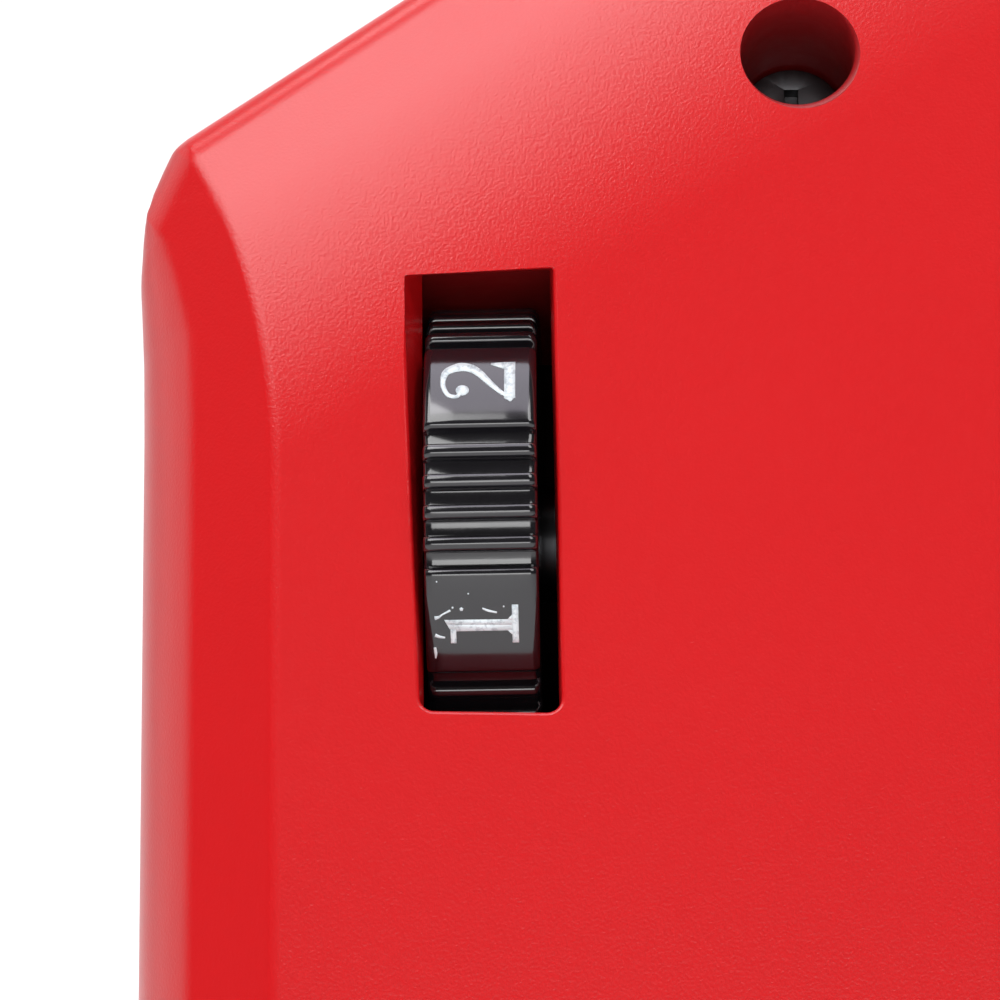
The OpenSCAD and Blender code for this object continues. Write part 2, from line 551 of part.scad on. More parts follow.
// ---------- motor and belt ----------
module motor_body() color([0.4, 0.41, 0.43]) difference() {
  union() {
    rod(-46, 52, my, mz, motor_d/2);
    rod(-52, -46, my, mz, motor_d/2-6);
    rod(-56, -52, my, mz, 12);
  }
  rod(-44, 50, my, mz, motor_d/2-8);
  rod(-60, -40, my, mz, 5.3);
}
module motor_fan_cap() color([0.15, 0.15, 0.16]) difference() {
  rod(52, 64, my, mz, motor_d/2-2);
  rod(51, 62, my, mz, motor_d/2-4);
  for (a = [0:45:315]) translate([0, my, mz]) rotate([a,0,0]) box([61, -3, 10], [66, 3, 26]);
}
module motor_rotor() color([0.62, 0.55, 0.5]) {
  rod(-104, 49.5, my, mz, 5);
  rod(-38, 38, my, mz, motor_d/2-10);
  rod(40, 46, my, mz, motor_d/2-12);
}
module motor_cradle() color([0.36, 0.38, 0.40]) for (x = [-36, 30]) difference() {
  union() { box([x, my-30, deck], [x+10, my+30, mz-12]); box([x-8, my-34, deck], [x+18, my+34, deck+5]); }
  rod(x-10, x+20, my, mz, motor_d/2+0.03);
  for (p = deck_m4) translate([p.x, p.y, deck-1]) cylinder(h=7, r=2.2);
}
// angle between the belt strands and the line of centres
bc = sqrt(pow(my-sy, 2) + pow(mz-sz, 2));
ba = atan2(mz-sz, my-sy);
module belt_shape(e) {
  r1 = rb+e; r2 = rs+e; g = acos((rb-rs)/bc);
  translate([sy, sz]) rotate(ba) {
    circle(r=r1, $fn=96);
    translate([bc, 0]) circle(r=r2, $fn=96);
    polygon([[r1*cos(g), r1*sin(g)], [0, 0], [r1*cos(g), -r1*sin(g)], [bc+r2*cos(g), -r2*sin(g)], [bc+r2*cos(g), r2*sin(g)]]);
  }
}
module drive_belt() color([0.05, 0.05, 0.05]) translate([pulley_x-belt_w/2, 0, 0]) rotate([90,0,90]) linear_extrude(belt_w)
  difference() { belt_shape(belt_t); belt_shape(0); }
module shaft_tube() color([0.33, 0.35, 0.37]) difference() { xrod(-61.6, -13.3, 14); xrod(-65, -10, 11); }

// ---------- motor cover ----------
cov = [[57, deck], [138.5, deck], [138.5, deck+72], [125, deck+85], [84, deck+85], [57, deck+58]];
cov_r = [0, 0, 8, 8, 8, 8];
module motor_cover() color([0.78, 0.07, 0.09]) difference() {
  union() {
    difference() {
      yz(-61.6, 156, rounded(cov, cov_r));
      yz(-70, 153.5, rounded(concat([[59.5, deck-5], [136, deck-5]], [for (i = [2:5]) inset(cov, 2.5)[i]]), [0,0,5.5,5.5,5.5,5.5]));
    }
    for (p = [[146, 68], [146, 128]]) intersection() {
      translate([p.x, p.y, deck]) cylinder(h=10, r=9);
      yz(100, 155, cov);
    }
  }
  for (i = [0:7]) box([150, 70+8*i, deck+16], [160, 74+8*i, deck+50]);
  for (i = [0:9]) box([-20+9*i, 134, deck+30], [-16+9*i, 142, deck+62]);
  for (p = [[146, 68], [146, 128]]) translate([p.x, p.y, deck-1]) cylinder(h=7, r=2.2);
  for (p = [[146, 68], [146, 128]]) translate([p.x, p.y, deck+6]) cylinder(h=7, r=4.2);
}

// ---------- console fittings ----------
module console_screws() color([0.25, 0.25, 0.26]) {
  on_face() for (s = face_screws) translate([s.x, s.y, -13]) pan_screw(3, 13, 5.6, 2.2);
  on_face() for (p = board_pts) translate([p.x, p.y, -33.6]) rotate([180,0,0]) pan_screw(2.8, 4, 5, 1.6);
  for (s = rear_screws) translate([s.x, 137.6, s.y]) rotate([-90,0,0]) pan_screw(3, 14, 6, 2.2);
}
module control_chassis() color([0.6, 0.61, 0.63]) on_face() difference() {
  union() {
    translate([0,0,-26]) linear_extrude(2) polygon([[-12,-74],[70,-74],[70,30],[20,30],[-12,8]]);
    for (p = board_pts) translate([p.x, p.y, -32]) cylinder(h=7, r=2.8);
  }
  for (s = face_screws) translate([s.x, s.y, -28]) cylinder(h=6, r=1.55);
  translate([sw.x-12, sw.y-17, -28]) cube([24, 34, 6]);
  for (p = board_pts) translate([p.x, p.y, -33]) cylinder(h=12, r=1.45);
}
board_pts = [[4, -58], [56, -58], [4, -6], [56, -6]];
module pot_bracket() color([0.6, 0.61, 0.63]) on_face() difference() {
  union() {
    translate([4.2, -11, -24]) cube([1.5, 22, 20.5]);
    translate([4.2, -11, -24]) cube([10, 22, 1.5]);
  }
  translate([0, 0, -dial_depth]) rotate([0,90,0]) cylinder(h=20, r=3.6);
}
module pot_body() color([0.2, 0.3, 0.45]) on_face() translate([0, 0, -dial_depth]) rotate([0,90,0]) difference() {
  union() {
    translate([0,0,5.7]) cylinder(h=7.5, r=6.8);
    translate([0,0,4.1]) cylinder(h=1.6, r=3.55);
    translate([3.4,-4,5.9]) cube([5.8, 8, 1.2]);
  }
  translate([0,0,3]) cylinder(h=9, r=3.06);
}
module pot_shaft() color([0.75, 0.76, 0.78]) on_face() translate([-3.4, 0, -dial_depth]) rotate([0,90,0]) cylinder(h=15, r=3);
// edge dial: six pads with four ribs between neighbours
module dial_wheel() color([0.05, 0.05, 0.06]) on_face() translate([-0.07-dial_w/2, 0, -dial_depth]) rotate([0,90,0]) difference() {
  linear_extrude(dial_w) difference() {
    circle(r=dial_d/2, $fn=120);
    for (k = [0:5], j = [0:4]) rotate(60*k + 26.25/2 + 7.5*j + 3.75/2 + dial_phase)
      translate([dial_d/2-0.5, -dial_d/2*sin(3.75)/2]) square([2, dial_d/2*sin(3.75)]);
    circle(r=3.03);
  }
  // hollow side
  translate([0,0,-1]) difference() { cylinder(h=2.4, r=9.6); cylinder(h=3, r=5.2); }
}
// the middle of the "1" pad sits 17.5 degrees under the line of sight
dial_phase = 152.5;
module control_board() color([0.05, 0.3, 0.15]) on_face() difference() {
  translate([0, -62, -33.6]) cube([60, 60, 1.6]);
  for (p = board_pts) translate([p.x, p.y, -36]) cylinder(h=6, r=1.6);
}
module board_parts() color([0.15, 0.15, 0.17]) on_face() translate([0,0,-33.6]) {
  translate([14, -46, -22]) cylinder(h=22, r=6.5);
  translate([30, -50, -16]) cube([10, 26, 16]);
  for (i = [0:5]) translate([10+4*i, -22, -18]) cube([1.6, 14, 18]);
  translate([10, -22, -3]) cube([21.6, 14, 3]);
  translate([42, -30, -12]) cube([9, 12, 12]);
  translate([46, -52, -9]) cube([8, 16, 9]);
}
module switch_body() color([0.05, 0.05, 0.05]) on_face() translate([sw.x, sw.y, 0]) difference() {
  union() {
    translate([-10.8, -15.8, 0]) cube([21.6, 31.6, 1.8]);
    translate([-9.4, -14.2, -17]) cube([18.8, 28.4, 17.5]);
    for (y = [-8, 0, 8]) translate([-3, y-0.4, -25]) cube([6, 0.8, 9]);
  }
  translate([-7.4, -12.7, -14]) cube([14.8, 25.4, 20]);
}
module switch_rocker() color([0.08, 0.08, 0.08]) on_face() translate([sw.x-7.1, sw.y, -1.5]) rotate([8,0,0]) difference() {
  rotate([90,0,90]) linear_extrude(14.2) intersection() {
    circle(r=12.3, $fn=96);
    polygon([[-13,-7],[13,-7],[13,4.2+13*tan(8)],[0,4.2],[-13,4.2+13*tan(8)]]);
  }
  translate([1.5, -10, -8]) cube([11.2, 20, 8]);
}
module rear_panel() color([0.12, 0.12, 0.13]) difference() {
  intersection() {
    translate([dial_x, 0, dial_z]) xz(135.2, 137.6, rounded(inset(outline, 0.6), less(outline_r, 0.6)));
    box([left, 130, deck+0.5], [left+console_w, 140, deck+console_h]);
  }
  for (s = rear_screws) yrod(s.x, 130, 140, s.y, 1.9);
  box([-124.2, 130, deck+17.8], [-95.8, 140, deck+38.2]);
  for (i = [0:5]) box([-134+9*i, 130, deck+60], [-130+9*i, 140, deck+92]);
}
// appliance inlet with its three flat pins
module power_inlet() color([0.05, 0.05, 0.05]) {
  difference() {
    union() {
      box([-129, 137.6, deck+16.5], [-91, 139.6, deck+39.5]);
      box([-124, 119, deck+18], [-96, 137.7, deck+38]);
    }
    box([-121.5, 121, deck+20.5], [-98.5, 141, deck+35.5]);
  }
  for (p = [[-116, 26], [-104, 26], [-110, 31]])
    box([p.x-1, 114, deck+p.y-2], [p.x+1, 136, deck+p.y+2]);
}

base_casting();
rubber_feet();
chip_tray();
head_casting();
deck_screws();
bearing_caps();
cap_screws();
spindle_bearings();
spindle_shaft();
spindle_pulley();
cutter_flanges();
cutter_wheel();
spindle_nuts();
brush_hub();
brush_bristles();
tracer_holder();
small_screws();
tracer_finger();
tracer_knob();
cutter_hood();
shield_pin();
clear_shield();
carriage_brackets();
carriage_shaft();
park_rest();
park_bar();
carriage_bushes();
carriage_casting();
vise_bases();
vise_screws();
vise_studs();
upper_jaw_left();
upper_jaw_right();
clamp_knob_left();
clamp_knob_right();
handle_rod();
handle_ball();
gauge_rod();
gauge_fork();
motor_body();
motor_fan_cap();
motor_rotor();
motor_pulley();
motor_cradle();
drive_belt();
shaft_tube();
motor_cover();
console_housing();
console_screws();
rear_panel();
power_inlet();
control_chassis();
pot_bracket();
pot_body();
pot_shaft();
dial_wheel();
control_board();
board_parts();
switch_body();
switch_rocker();
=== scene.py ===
import json
import math

import bmesh
import bpy
import numpy as np
from mathutils import Matrix, Vector


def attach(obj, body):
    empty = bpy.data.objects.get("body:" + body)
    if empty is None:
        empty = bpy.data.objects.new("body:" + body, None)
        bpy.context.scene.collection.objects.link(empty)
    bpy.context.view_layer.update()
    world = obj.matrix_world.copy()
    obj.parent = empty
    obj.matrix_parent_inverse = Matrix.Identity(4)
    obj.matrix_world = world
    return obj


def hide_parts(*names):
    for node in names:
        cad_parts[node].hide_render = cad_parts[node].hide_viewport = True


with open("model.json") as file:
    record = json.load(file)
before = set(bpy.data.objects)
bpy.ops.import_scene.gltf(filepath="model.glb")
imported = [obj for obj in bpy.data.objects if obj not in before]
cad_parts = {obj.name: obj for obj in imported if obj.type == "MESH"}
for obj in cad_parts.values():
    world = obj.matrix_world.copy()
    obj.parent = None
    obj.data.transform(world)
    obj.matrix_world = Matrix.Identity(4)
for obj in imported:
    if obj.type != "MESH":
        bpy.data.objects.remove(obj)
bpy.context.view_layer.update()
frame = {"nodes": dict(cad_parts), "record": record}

NODES = frame["nodes"]
MM = 0.001

# ------------------------------------------------------------------ console frame
# The console front leans back 12 degrees. u runs right, w up the front, n out of it,
# all in mm from the middle of the dial slot.
LEAN = math.radians(12)
SF, CF = math.sin(LEAN), math.cos(LEAN)
ORIGIN = np.array([-142.1, -84.0, 146.0])
UX, UR, TOP_Z = 17.9, 80.1, 49.0
TOP_AT = (TOP_Z - 8.5) / CF
DIAL_DEPTH = 10.8
DIAL_R = 12.2


def face_pt(u, w, n):
    """A point of the console front frame, in metres in the row frame."""
    u, w, n = (np.asarray(a, float) for a in (u, w, n))
    return np.stack([ORIGIN[0] + u, ORIGIN[1] + w * SF - n * CF, ORIGIN[2] + w * CF + n * SF], -1) * MM


# ------------------------------------------------------------------ mesh helpers
def mesh_obj(name, verts, faces, smooth=True):
    me = bpy.data.meshes.new(name)
    me.from_pydata([tuple(map(float, v)) for v in verts], [], [tuple(int(i) for i in f) for f in faces])
    me.validate()
    me.update()
    o = bpy.data.objects.new(name, me)
    bpy.context.scene.collection.objects.link(o)
    if smooth:
        me.polygons.foreach_set("use_smooth", [True] * len(me.polygons))
    return o


def fix_normals(o):
    bm = bmesh.new()
    bm.from_mesh(o.data)
    bmesh.ops.recalc_face_normals(bm, faces=bm.faces)
    bm.to_mesh(o.data)
    bm.free()
    o.data.update()


def apply_mods(o):
    dg = bpy.context.evaluated_depsgraph_get()
    me = bpy.data.meshes.new_from_object(o.evaluated_get(dg))
    old = o.data
    o.modifiers.clear()
    o.data = me
    bpy.data.meshes.remove(old)


def join(name, objs):
    bm = bmesh.new()
    for o in objs:
        me = o.data.copy()
        me.transform(o.matrix_world)
        bm.from_mesh(me)
        bpy.data.meshes.remove(me)
    me = bpy.data.meshes.new(name)
    bm.to_mesh(me)
    bm.free()
    out = bpy.data.objects.new(name, me)
    bpy.context.scene.collection.objects.link(out)
    for o in objs:
        bpy.data.objects.remove(o)
    return out


def loft(name, rings, close_ends=True, smooth=True, closed=True):
    """Quads between equal rings of points (metres); the end rings are capped."""
    rings = [np.asarray(r, float) for r in rings]
    k = len(rings[0])
    verts = np.concatenate(rings)
    faces = []
    m = k if closed else k - 1
    for r in range(len(rings) - 1):
        a, b = r * k, (r + 1) * k
        for i in range(m):
            j = (i + 1) % k
            faces.append((a + i, a + j, b + j, b + i))
    if close_ends:
        faces.append(tuple(range(k - 1, -1, -1)))
        faces.append(tuple(range((len(rings) - 1) * k, len(rings) * k)))
    o = mesh_obj(name, verts, faces, smooth)
    fix_normals(o)
    return o


# ------------------------------------------------------------------ materials
def tree(name):
    m = bpy.data.materials.new(name)
    m.use_nodes = True
    nt = m.node_tree
    return m, nt, nt.nodes["Principled BSDF"]


def node(nt, kind, **kw):
    n = nt.nodes.new(kind)
    for k, v in kw.items():
        if k.startswith("i_"):
            n.inputs[k[2:].replace("_", " ")].default_value = v
        else:
            setattr(n, k, v)
    return n


def coords(nt, stretch=None):
    tc = node(nt, "ShaderNodeTexCoord")
    out = tc.outputs["Object"]
    if stretch is not None:
        mp = node(nt, "ShaderNodeMapping")
        mp.inputs["Scale"].default_value = stretch
        nt.links.new(out, mp.inputs["Vector"])
        out = mp.outputs["Vector"]
    return out


def noise(nt, vec, scale, detail=3.0, rough=0.55, dist=0.0):
    n = node(nt, "ShaderNodeTexNoise")
    n.inputs["Scale"].default_value = scale
    n.inputs["Detail"].default_value = detail
    n.inputs["Roughness"].default_value = rough
    n.inputs["Distortion"].default_value = dist
    nt.links.new(vec, n.inputs["Vector"])
    return n.outputs["Fac"]


def remap(nt, src, a, b, lo=0.3, hi=0.7):
    r = node(nt, "ShaderNodeMapRange")
    r.inputs["From Min"].default_value = lo
    r.inputs["From Max"].default_value = hi
    r.inputs["To Min"].default_value = a
    r.inputs["To Max"].default_value = b
    nt.links.new(src, r.inputs["Value"])
    return r.outputs["Result"]


def mix(nt, fac, a, b):
    m = node(nt, "ShaderNodeMix", data_type="RGBA")
    nt.links.new(fac, m.inputs[0])
    for sock, v in ((m.inputs[6], a), (m.inputs[7], b)):
        if isinstance(v, (tuple, list)):
            sock.default_value = (*v, 1.0) if len(v) == 3 else v
        else:
            nt.links.new(v, sock)
    return m.outputs[2]


def bump(nt, height, strength, distance, normal=None):
    b = node(nt, "ShaderNodeBump")
    b.inputs["Strength"].default_value = strength
    b.inputs["Distance"].default_value = distance
    nt.links.new(height, b.inputs["Height"])
    if normal is not None:
        nt.links.new(normal, b.inputs["Normal"])
    return b.outputs["Normal"]


def edge_mask(nt, lo=0.52, hi=0.62):
    g = node(nt, "ShaderNodeNewGeometry")
    return remap(nt, g.outputs["Pointiness"], 0.0, 1.0, lo, hi)


def plastic(name, col, col2, rough, grain=0.00035, grain_h=0.00002, spec=0.5, coat=0.0, sss=0.0, strength=0.5, blotch=40.0, rr=0.05):
    m, nt, p = tree(name)
    v = coords(nt)
    big = noise(nt, v, blotch, 3)
    nt.links.new(mix(nt, remap(nt, big, 0, 1), col, col2), p.inputs["Base Color"])
    fine = noise(nt, v, 1.0 / grain, 2.5, 0.6)
    nt.links.new(remap(nt, noise(nt, v, 1.0 / grain * 0.35, 3), rough - rr, rough + rr), p.inputs["Roughness"])
    nt.links.new(bump(nt, fine, strength, grain_h), p.inputs["Normal"])
    p.inputs["Specular IOR Level"].default_value = spec
    p.inputs["Coat Weight"].default_value = coat
    p.inputs["Coat Roughness"].default_value = 0.08
    if sss:
        p.inputs["Subsurface Weight"].default_value = sss
        p.inputs["Subsurface Radius"].default_value = (0.004, 0.0008, 0.0006)
        p.inputs["Subsurface Scale"].default_value = 0.3
    return m


def metal(name, col, col2, rough, stretch=(1, 1, 1), scale=900.0, h=0.00001, rr=0.05, strength=0.18, smudge=30.0):
    m, nt, p = tree(name)
    p.inputs["Metallic"].default_value = 1.0
    v = coords(nt)
    vs = coords(nt, stretch)
    fine = noise(nt, vs, scale, 4, 0.65)
    big = noise(nt, v, smudge, 4, 0.6)
    nt.links.new(mix(nt, remap(nt, big, 0, 1), col, col2), p.inputs["Base Color"])
    a = remap(nt, fine, -rr, rr)
    b = remap(nt, big, rough - rr * 0.3, rough + rr * 0.5)
    s = node(nt, "ShaderNodeMath", operation="ADD")
    nt.links.new(a, s.inputs[0])
    nt.links.new(b, s.inputs[1])
    nt.links.new(s.outputs[0], p.inputs["Roughness"])
    nt.links.new(bump(nt, fine, strength, h), p.inputs["Normal"])
    return m


def enamel(name, col, col2, rough=0.36, cell=0.0022, h=0.00012):
    """Hammered enamel over a casting, with a little bare metal dust on the edges."""
    m, nt, p = tree(name)
    v = coords(nt)
    vor = node(nt, "ShaderNodeTexVoronoi", feature="SMOOTH_F1")
    vor.inputs["Scale"].default_value = 1.0 / cell
    vor.inputs["Smoothness"].default_value = 0.6
    nt.links.new(v, vor.inputs["Vector"])
    ham = vor.outputs["Distance"]
    big = noise(nt, v, 55, 4)
    base = mix(nt, remap(nt, big, 0, 1), col, col2)
    worn = mix(nt, remap(nt, edge_mask(nt, 0.54, 0.66), 0, 0.55, 0, 1), base, (0.42, 0.43, 0.44))
    nt.links.new(worn, p.inputs["Base Color"])
    n1 = bump(nt, ham, 0.55, h)
    n2 = bump(nt, noise(nt, v, 2600, 2), 0.2, 0.00002, n1)
    nt.links.new(n2, p.inputs["Normal"])
    nt.links.new(remap(nt, noise(nt, v, 240, 3), rough - 0.06, rough + 0.08), p.inputs["Roughness"])
    p.inputs["Coat Weight"].default_value = 0.25
    p.inputs["Coat Roughness"].default_value = 0.15
    return m


# red moulding: saturated body, spark-eroded grain
def red_material():
    m, nt, p = tree("red_moulding")
    v = coords(nt)
    big = noise(nt, v, 22, 3)
    nt.links.new(mix(nt, remap(nt, big, 0, 1), (0.58, 0.0046, 0.0070), (0.62, 0.0064, 0.0088)), p.inputs["Base Color"])
    g1 = noise(nt, v, 6500, 2.0, 0.5)
    n1 = bump(nt, g1, 0.75, 0.00002)
    nt.links.new(n1, p.inputs["Normal"])
    nt.links.new(remap(nt, noise(nt, v, 1500, 3), 0.275, 0.289), p.inputs["Roughness"])
    p.inputs["Specular IOR Level"].default_value = 0.56
    p.inputs["Subsurface Weight"].default_value = 0.04
    p.inputs["Subsurface Radius"].default_value = (0.003, 0.0006, 0.0005)
    p.inputs["Subsurface Scale"].default_value = 0.3
    return m


RED = red_material()
# darker, rougher copy of the red moulding for the inside of the shell, the walls of the cuts and the screw pillars: its
# lower brightness is painted shade inside the housing and in the recesses
RED_INSIDE_SHADE = plastic("red_moulding_inside_painted_shade", (0.30, 0.004, 0.006), (0.36, 0.006, 0.008), 0.5, 0.0005, 0.00003)
MATS = {
    "red_housing": RED,
    "grey_casting": enamel("hammered_enamel", (0.135, 0.145, 0.158), (0.165, 0.175, 0.19)),
    "dark_steel": metal("black_oxide", (0.075, 0.075, 0.08), (0.11, 0.11, 0.115), 0.38, scale=1500, h=0.00001),
    "ground_steel": metal("ground_steel", (0.56, 0.565, 0.575), (0.64, 0.645, 0.655), 0.27, (1, 14, 14), 700, 0.000006),
    "tool_steel": metal("coated_tool_steel", (0.60, 0.50, 0.30), (0.68, 0.58, 0.36), 0.26, (12, 1, 1), 500, 0.00001),
    "polished_steel": metal("polished_steel", (0.68, 0.69, 0.70), (0.76, 0.77, 0.78), 0.13, (14, 1, 1), 420, 0.000004, rr=0.04),
    "aluminium": metal("turned_aluminium", (0.62, 0.63, 0.645), (0.70, 0.71, 0.72), 0.30, (18, 1, 1), 380, 0.000012),
    "tray_sheet": metal("zinc_sheet", (0.47, 0.48, 0.50), (0.57, 0.58, 0.59), 0.38, (1, 1, 1), 900, 0.000006, rr=0.05, smudge=45),
    "bronze": metal("turned_bronze", (0.55, 0.33, 0.12), (0.65, 0.42, 0.18), 0.3, (16, 1, 1), 420, 0.00001),
    "wire": metal("brush_wire", (0.56, 0.38, 0.15), (0.72, 0.52, 0.24), 0.34, (1, 1, 1), 1500, 0.00002),
    "rubber": plastic("rubber", (0.014, 0.014, 0.015), (0.024, 0.023, 0.023), 0.72, 0.0006, 0.00004, spec=0.3),
    "black_gloss": plastic("black_gloss", (0.0065, 0.0058, 0.0075), (0.010, 0.009, 0.0115), 0.15, 0.0009, 0.000004, spec=0.6, coat=0.5, strength=0.4, rr=0.04),
    "black_satin": plastic("black_satin", (0.013, 0.013, 0.014), (0.020, 0.020, 0.022), 0.42, 0.0004, 0.00002),
    "panel_black": plastic("black_powder_coat", (0.016, 0.016, 0.018), (0.024, 0.024, 0.026), 0.5, 0.0007, 0.00006, strength=0.7),
    # near-black red paint for the chassis and pot bracket behind the dial slot: the colour is painted shade that keeps
    # the slot's inside dark
    "oxide_primer": plastic("oxide_primer", (0.020, 0.0030, 0.0018), (0.030, 0.0045, 0.0027), 0.62, 0.0006, 0.00004, spec=0.25),
    "pot_case": plastic("blue_case", (0.03, 0.08, 0.22), (0.04, 0.10, 0.26), 0.4),
    "board_green": plastic("solder_mask", (0.006, 0.07, 0.03), (0.01, 0.10, 0.045), 0.3, 0.0012, 0.00002),
    "copper_core": metal("laminations", (0.22, 0.15, 0.11), (0.30, 0.21, 0.15), 0.42, (30, 1, 1), 300, 0.00004),
}


def clear_material():
    m, nt, p = tree("clear_sheet")
    p.inputs["Base Color"].default_value = (0.93, 0.97, 0.98, 1)
    p.inputs["Transmission Weight"].default_value = 1.0
    p.inputs["IOR"].default_value = 1.2
    v = coords(nt)
    nt.links.new(remap(nt, noise(nt, v, 60, 4, 0.6), 0.02, 0.05), p.inputs["Roughness"])
    nt.links.new(bump(nt, noise(nt, coords(nt, (1, 8, 1)), 90, 2), 0.04, 0.00001), p.inputs["Normal"])
    p.inputs["Alpha"].default_value = 0.42
    return m


MATS["clear"] = clear_material()

SLOT_OF = {s["node"]: s["material_slot"] for s in frame["record"]["subparts"]}
# the pot shaft, chassis and pot bracket seen through the dial slot are real parts, but they get near-black materials as
# painted shade so that the slot's inside stays dark
SLOT_OF.update({"pot_shaft": "dark_steel", "control_chassis": "oxide_primer", "pot_bracket": "oxide_primer"})


def paint(o, mat):
    o.data.materials.clear()
    o.data.materials.append(mat)
    o.data.polygons.foreach_set("material_index", [0] * len(o.data.polygons))


# ------------------------------------------------------------------ CAD nodes: materials and eased edges
EASE = {  # node: (bevel width mm, segments)
    "base_casting": (1.6, 3), "head_casting": (1.2, 3), "carriage_casting": (1.0, 3), "carriage_brackets": (1.0, 3),
    "tracer_holder": (0.7, 2), "cutter_hood": (0.5, 2), "park_rest": (0.6, 2), "vise_bases": (0.5, 2),
    "upper_jaw_left": (0.4, 2), "upper_jaw_right": (0.4, 2), "clamp_knob_left": (0.9, 3), "clamp_knob_right": (0.9, 3),
    "motor_cover": (0.5, 2), "chip_tray": (0.35, 2), "rubber_feet": (0.6, 2), "clear_shield": (0.5, 2),
    "gauge_fork": (0.35, 2), "bearing_caps": (0.5, 2), "shaft_tube": (0.4, 2), "rear_panel": (0.3, 2),
    "power_inlet": (0.4, 2), "switch_body": (0.4, 3), "switch_rocker": (0.45, 3), "spindle_nuts": (0.5, 2),
    "cutter_flanges": (0.5, 2), "cutter_wheel": (0.12, 1), "brush_hub": (0.5, 2), "tracer_finger": (0.35, 2),
    "tracer_knob": (0.12, 1), "deck_screws": (0.35, 2), "small_screws": (0.25, 2), "cap_screws": (0.2, 2),
    "console_screws": (0.18, 2), "carriage_bushes": (0.3, 2), "carriage_shaft": (0.3, 2), "park_bar": (0.3, 2),
    "handle_rod": (0.3, 2), "gauge_rod": (0.3, 2), "motor_cradle": (0.6, 2), "motor_fan_cap": (0.4, 2),
    "motor_body": (0.5, 2), "spindle_shaft": (0.3, 2), "shield_pin": (0.2, 2),
}
for name, o in NODES.items():
    paint(o, MATS[SLOT_OF[name]])
    o.data.polygons.foreach_set("use_smooth", [True] * len(o.data.polygons))
    weld = o.modifiers.new("weld", "WELD")
    weld.merge_threshold = 1e-6
    if name in EASE:
        width, seg = EASE[name]
        b = o.modifiers.new("ease", "BEVEL")
        b.width = width * MM
        b.segments = seg
        b.limit_method = "ANGLE"
        b.angle_limit = math.radians(38)
        b.use_clamp_overlap = True
        b.harden_normals = True
        b.miter_outer = "MITER_ARC"


# ------------------------------------------------------------------ console housing surface
def smax(a, b, r):
    ua, ub = np.maximum(a + r, 0), np.maximum(b + r, 0)
    return np.minimum(-r, np.maximum(a, b)) + np.sqrt(ua * ua + ub * ub)


def d2(deg):
    return math.sin(math.radians(deg)), math.cos(math.radians(deg))


S34, C34 = d2(34)
S18, C18 = d2(18)
S17, C17 = d2(17)
ROOF = d2(32.95)
STEEP = d2(62.5)


def edge_zone(s, n, c):
    """Rounded outer edge: s is the distance inward from the side plane, c the width of the rounding."""
    r = np.maximum(c, 0.02) / 0.234
    # the arc turns 40 degrees up from the side, meets the 34 degree bevel there
    # and runs on as a plane above it
    nb = -0.6745 * (7.65 - c)
    cn = nb - r * 0.6428
    a, b = r - s, n - cn
    arc = np.hypot(a, np.maximum(b, 0)) - r
    plane = a * 0.5592 + b * 0.8290 - r
    return np.where(b <= 0, a - r, np.where(b * 0.5592 > a * 0.8290, plane, arc))


def housing(p, off=0.0, back=219.0, bottom=-100.0):
    """Signed distance-like field of the housing in mm, p relative to the slot centre in row axes."""
    x, y, z = p[:, 0], p[:, 1], p[:, 2]
    u = x
    w = y * SF + z * CF
    n = -y * CF + z * SF
    yt = -0.5150 * u + 0.8572 * w
    f = smax(n, C17 * n + S17 * (yt - 13.8), 2.10)
    f = smax(f, C18 * n + S18 * (w - TOP_AT), 0.636)
    f = smax(f, C34 * n - S34 * (u + 10.25), 0.2)
    f = smax(f, C34 * n + S34 * (u - UR + 7.65), 0.15)
    cl = np.interp(w, [5.5, 9.64, 12.43, 14.83, 16.13, 16.6], [3.25, 3.03, 2.34, 1.6, 0.53, 0.2])
    f = smax(f, edge_zone(u + UX, n, cl), 0.09)
    f = smax(f, edge_zone(UR - u, n, np.full_like(u, 3.25)), 0.09)
    o = smax(-STEEP[0] * (x + 16.88) + STEEP[1] * (z - 16.55), -ROOF[0] * (x + 12.1) + ROOF[1] * (z - 20.9), 0.25)
    o = smax(o, z - TOP_Z, 2.9)
    o = smax(o, x - UR, 12.0)
    f = smax(f, o, 1.7)
    f = f + off
    f = smax(f, y - back, 0.8 if off == 0 else 0.1)
    return np.maximum(f, bottom - z)


def gradient(p, fn):
    h = 0.01
    g = np.stack([fn(p + [h if i == k else 0 for i in range(3)]) - fn(p - [h if i == k else 0 for i in range(3)]) for k in range(3)], -1)
    return g / np.maximum(np.linalg.norm(g, axis=1, keepdims=True), 1e-9)


def shoot(o, d, fn, far=70.0):
    a, b = np.zeros(len(o)), np.full(len(o), far)
    for _ in range(30):
        m = (a + b) / 2
        inside = fn(o + d * m[:, None]) < 0
        a = np.where(inside, m, a)
        b = np.where(inside, b, m)
    return o + d * ((a + b) / 2)[:, None]


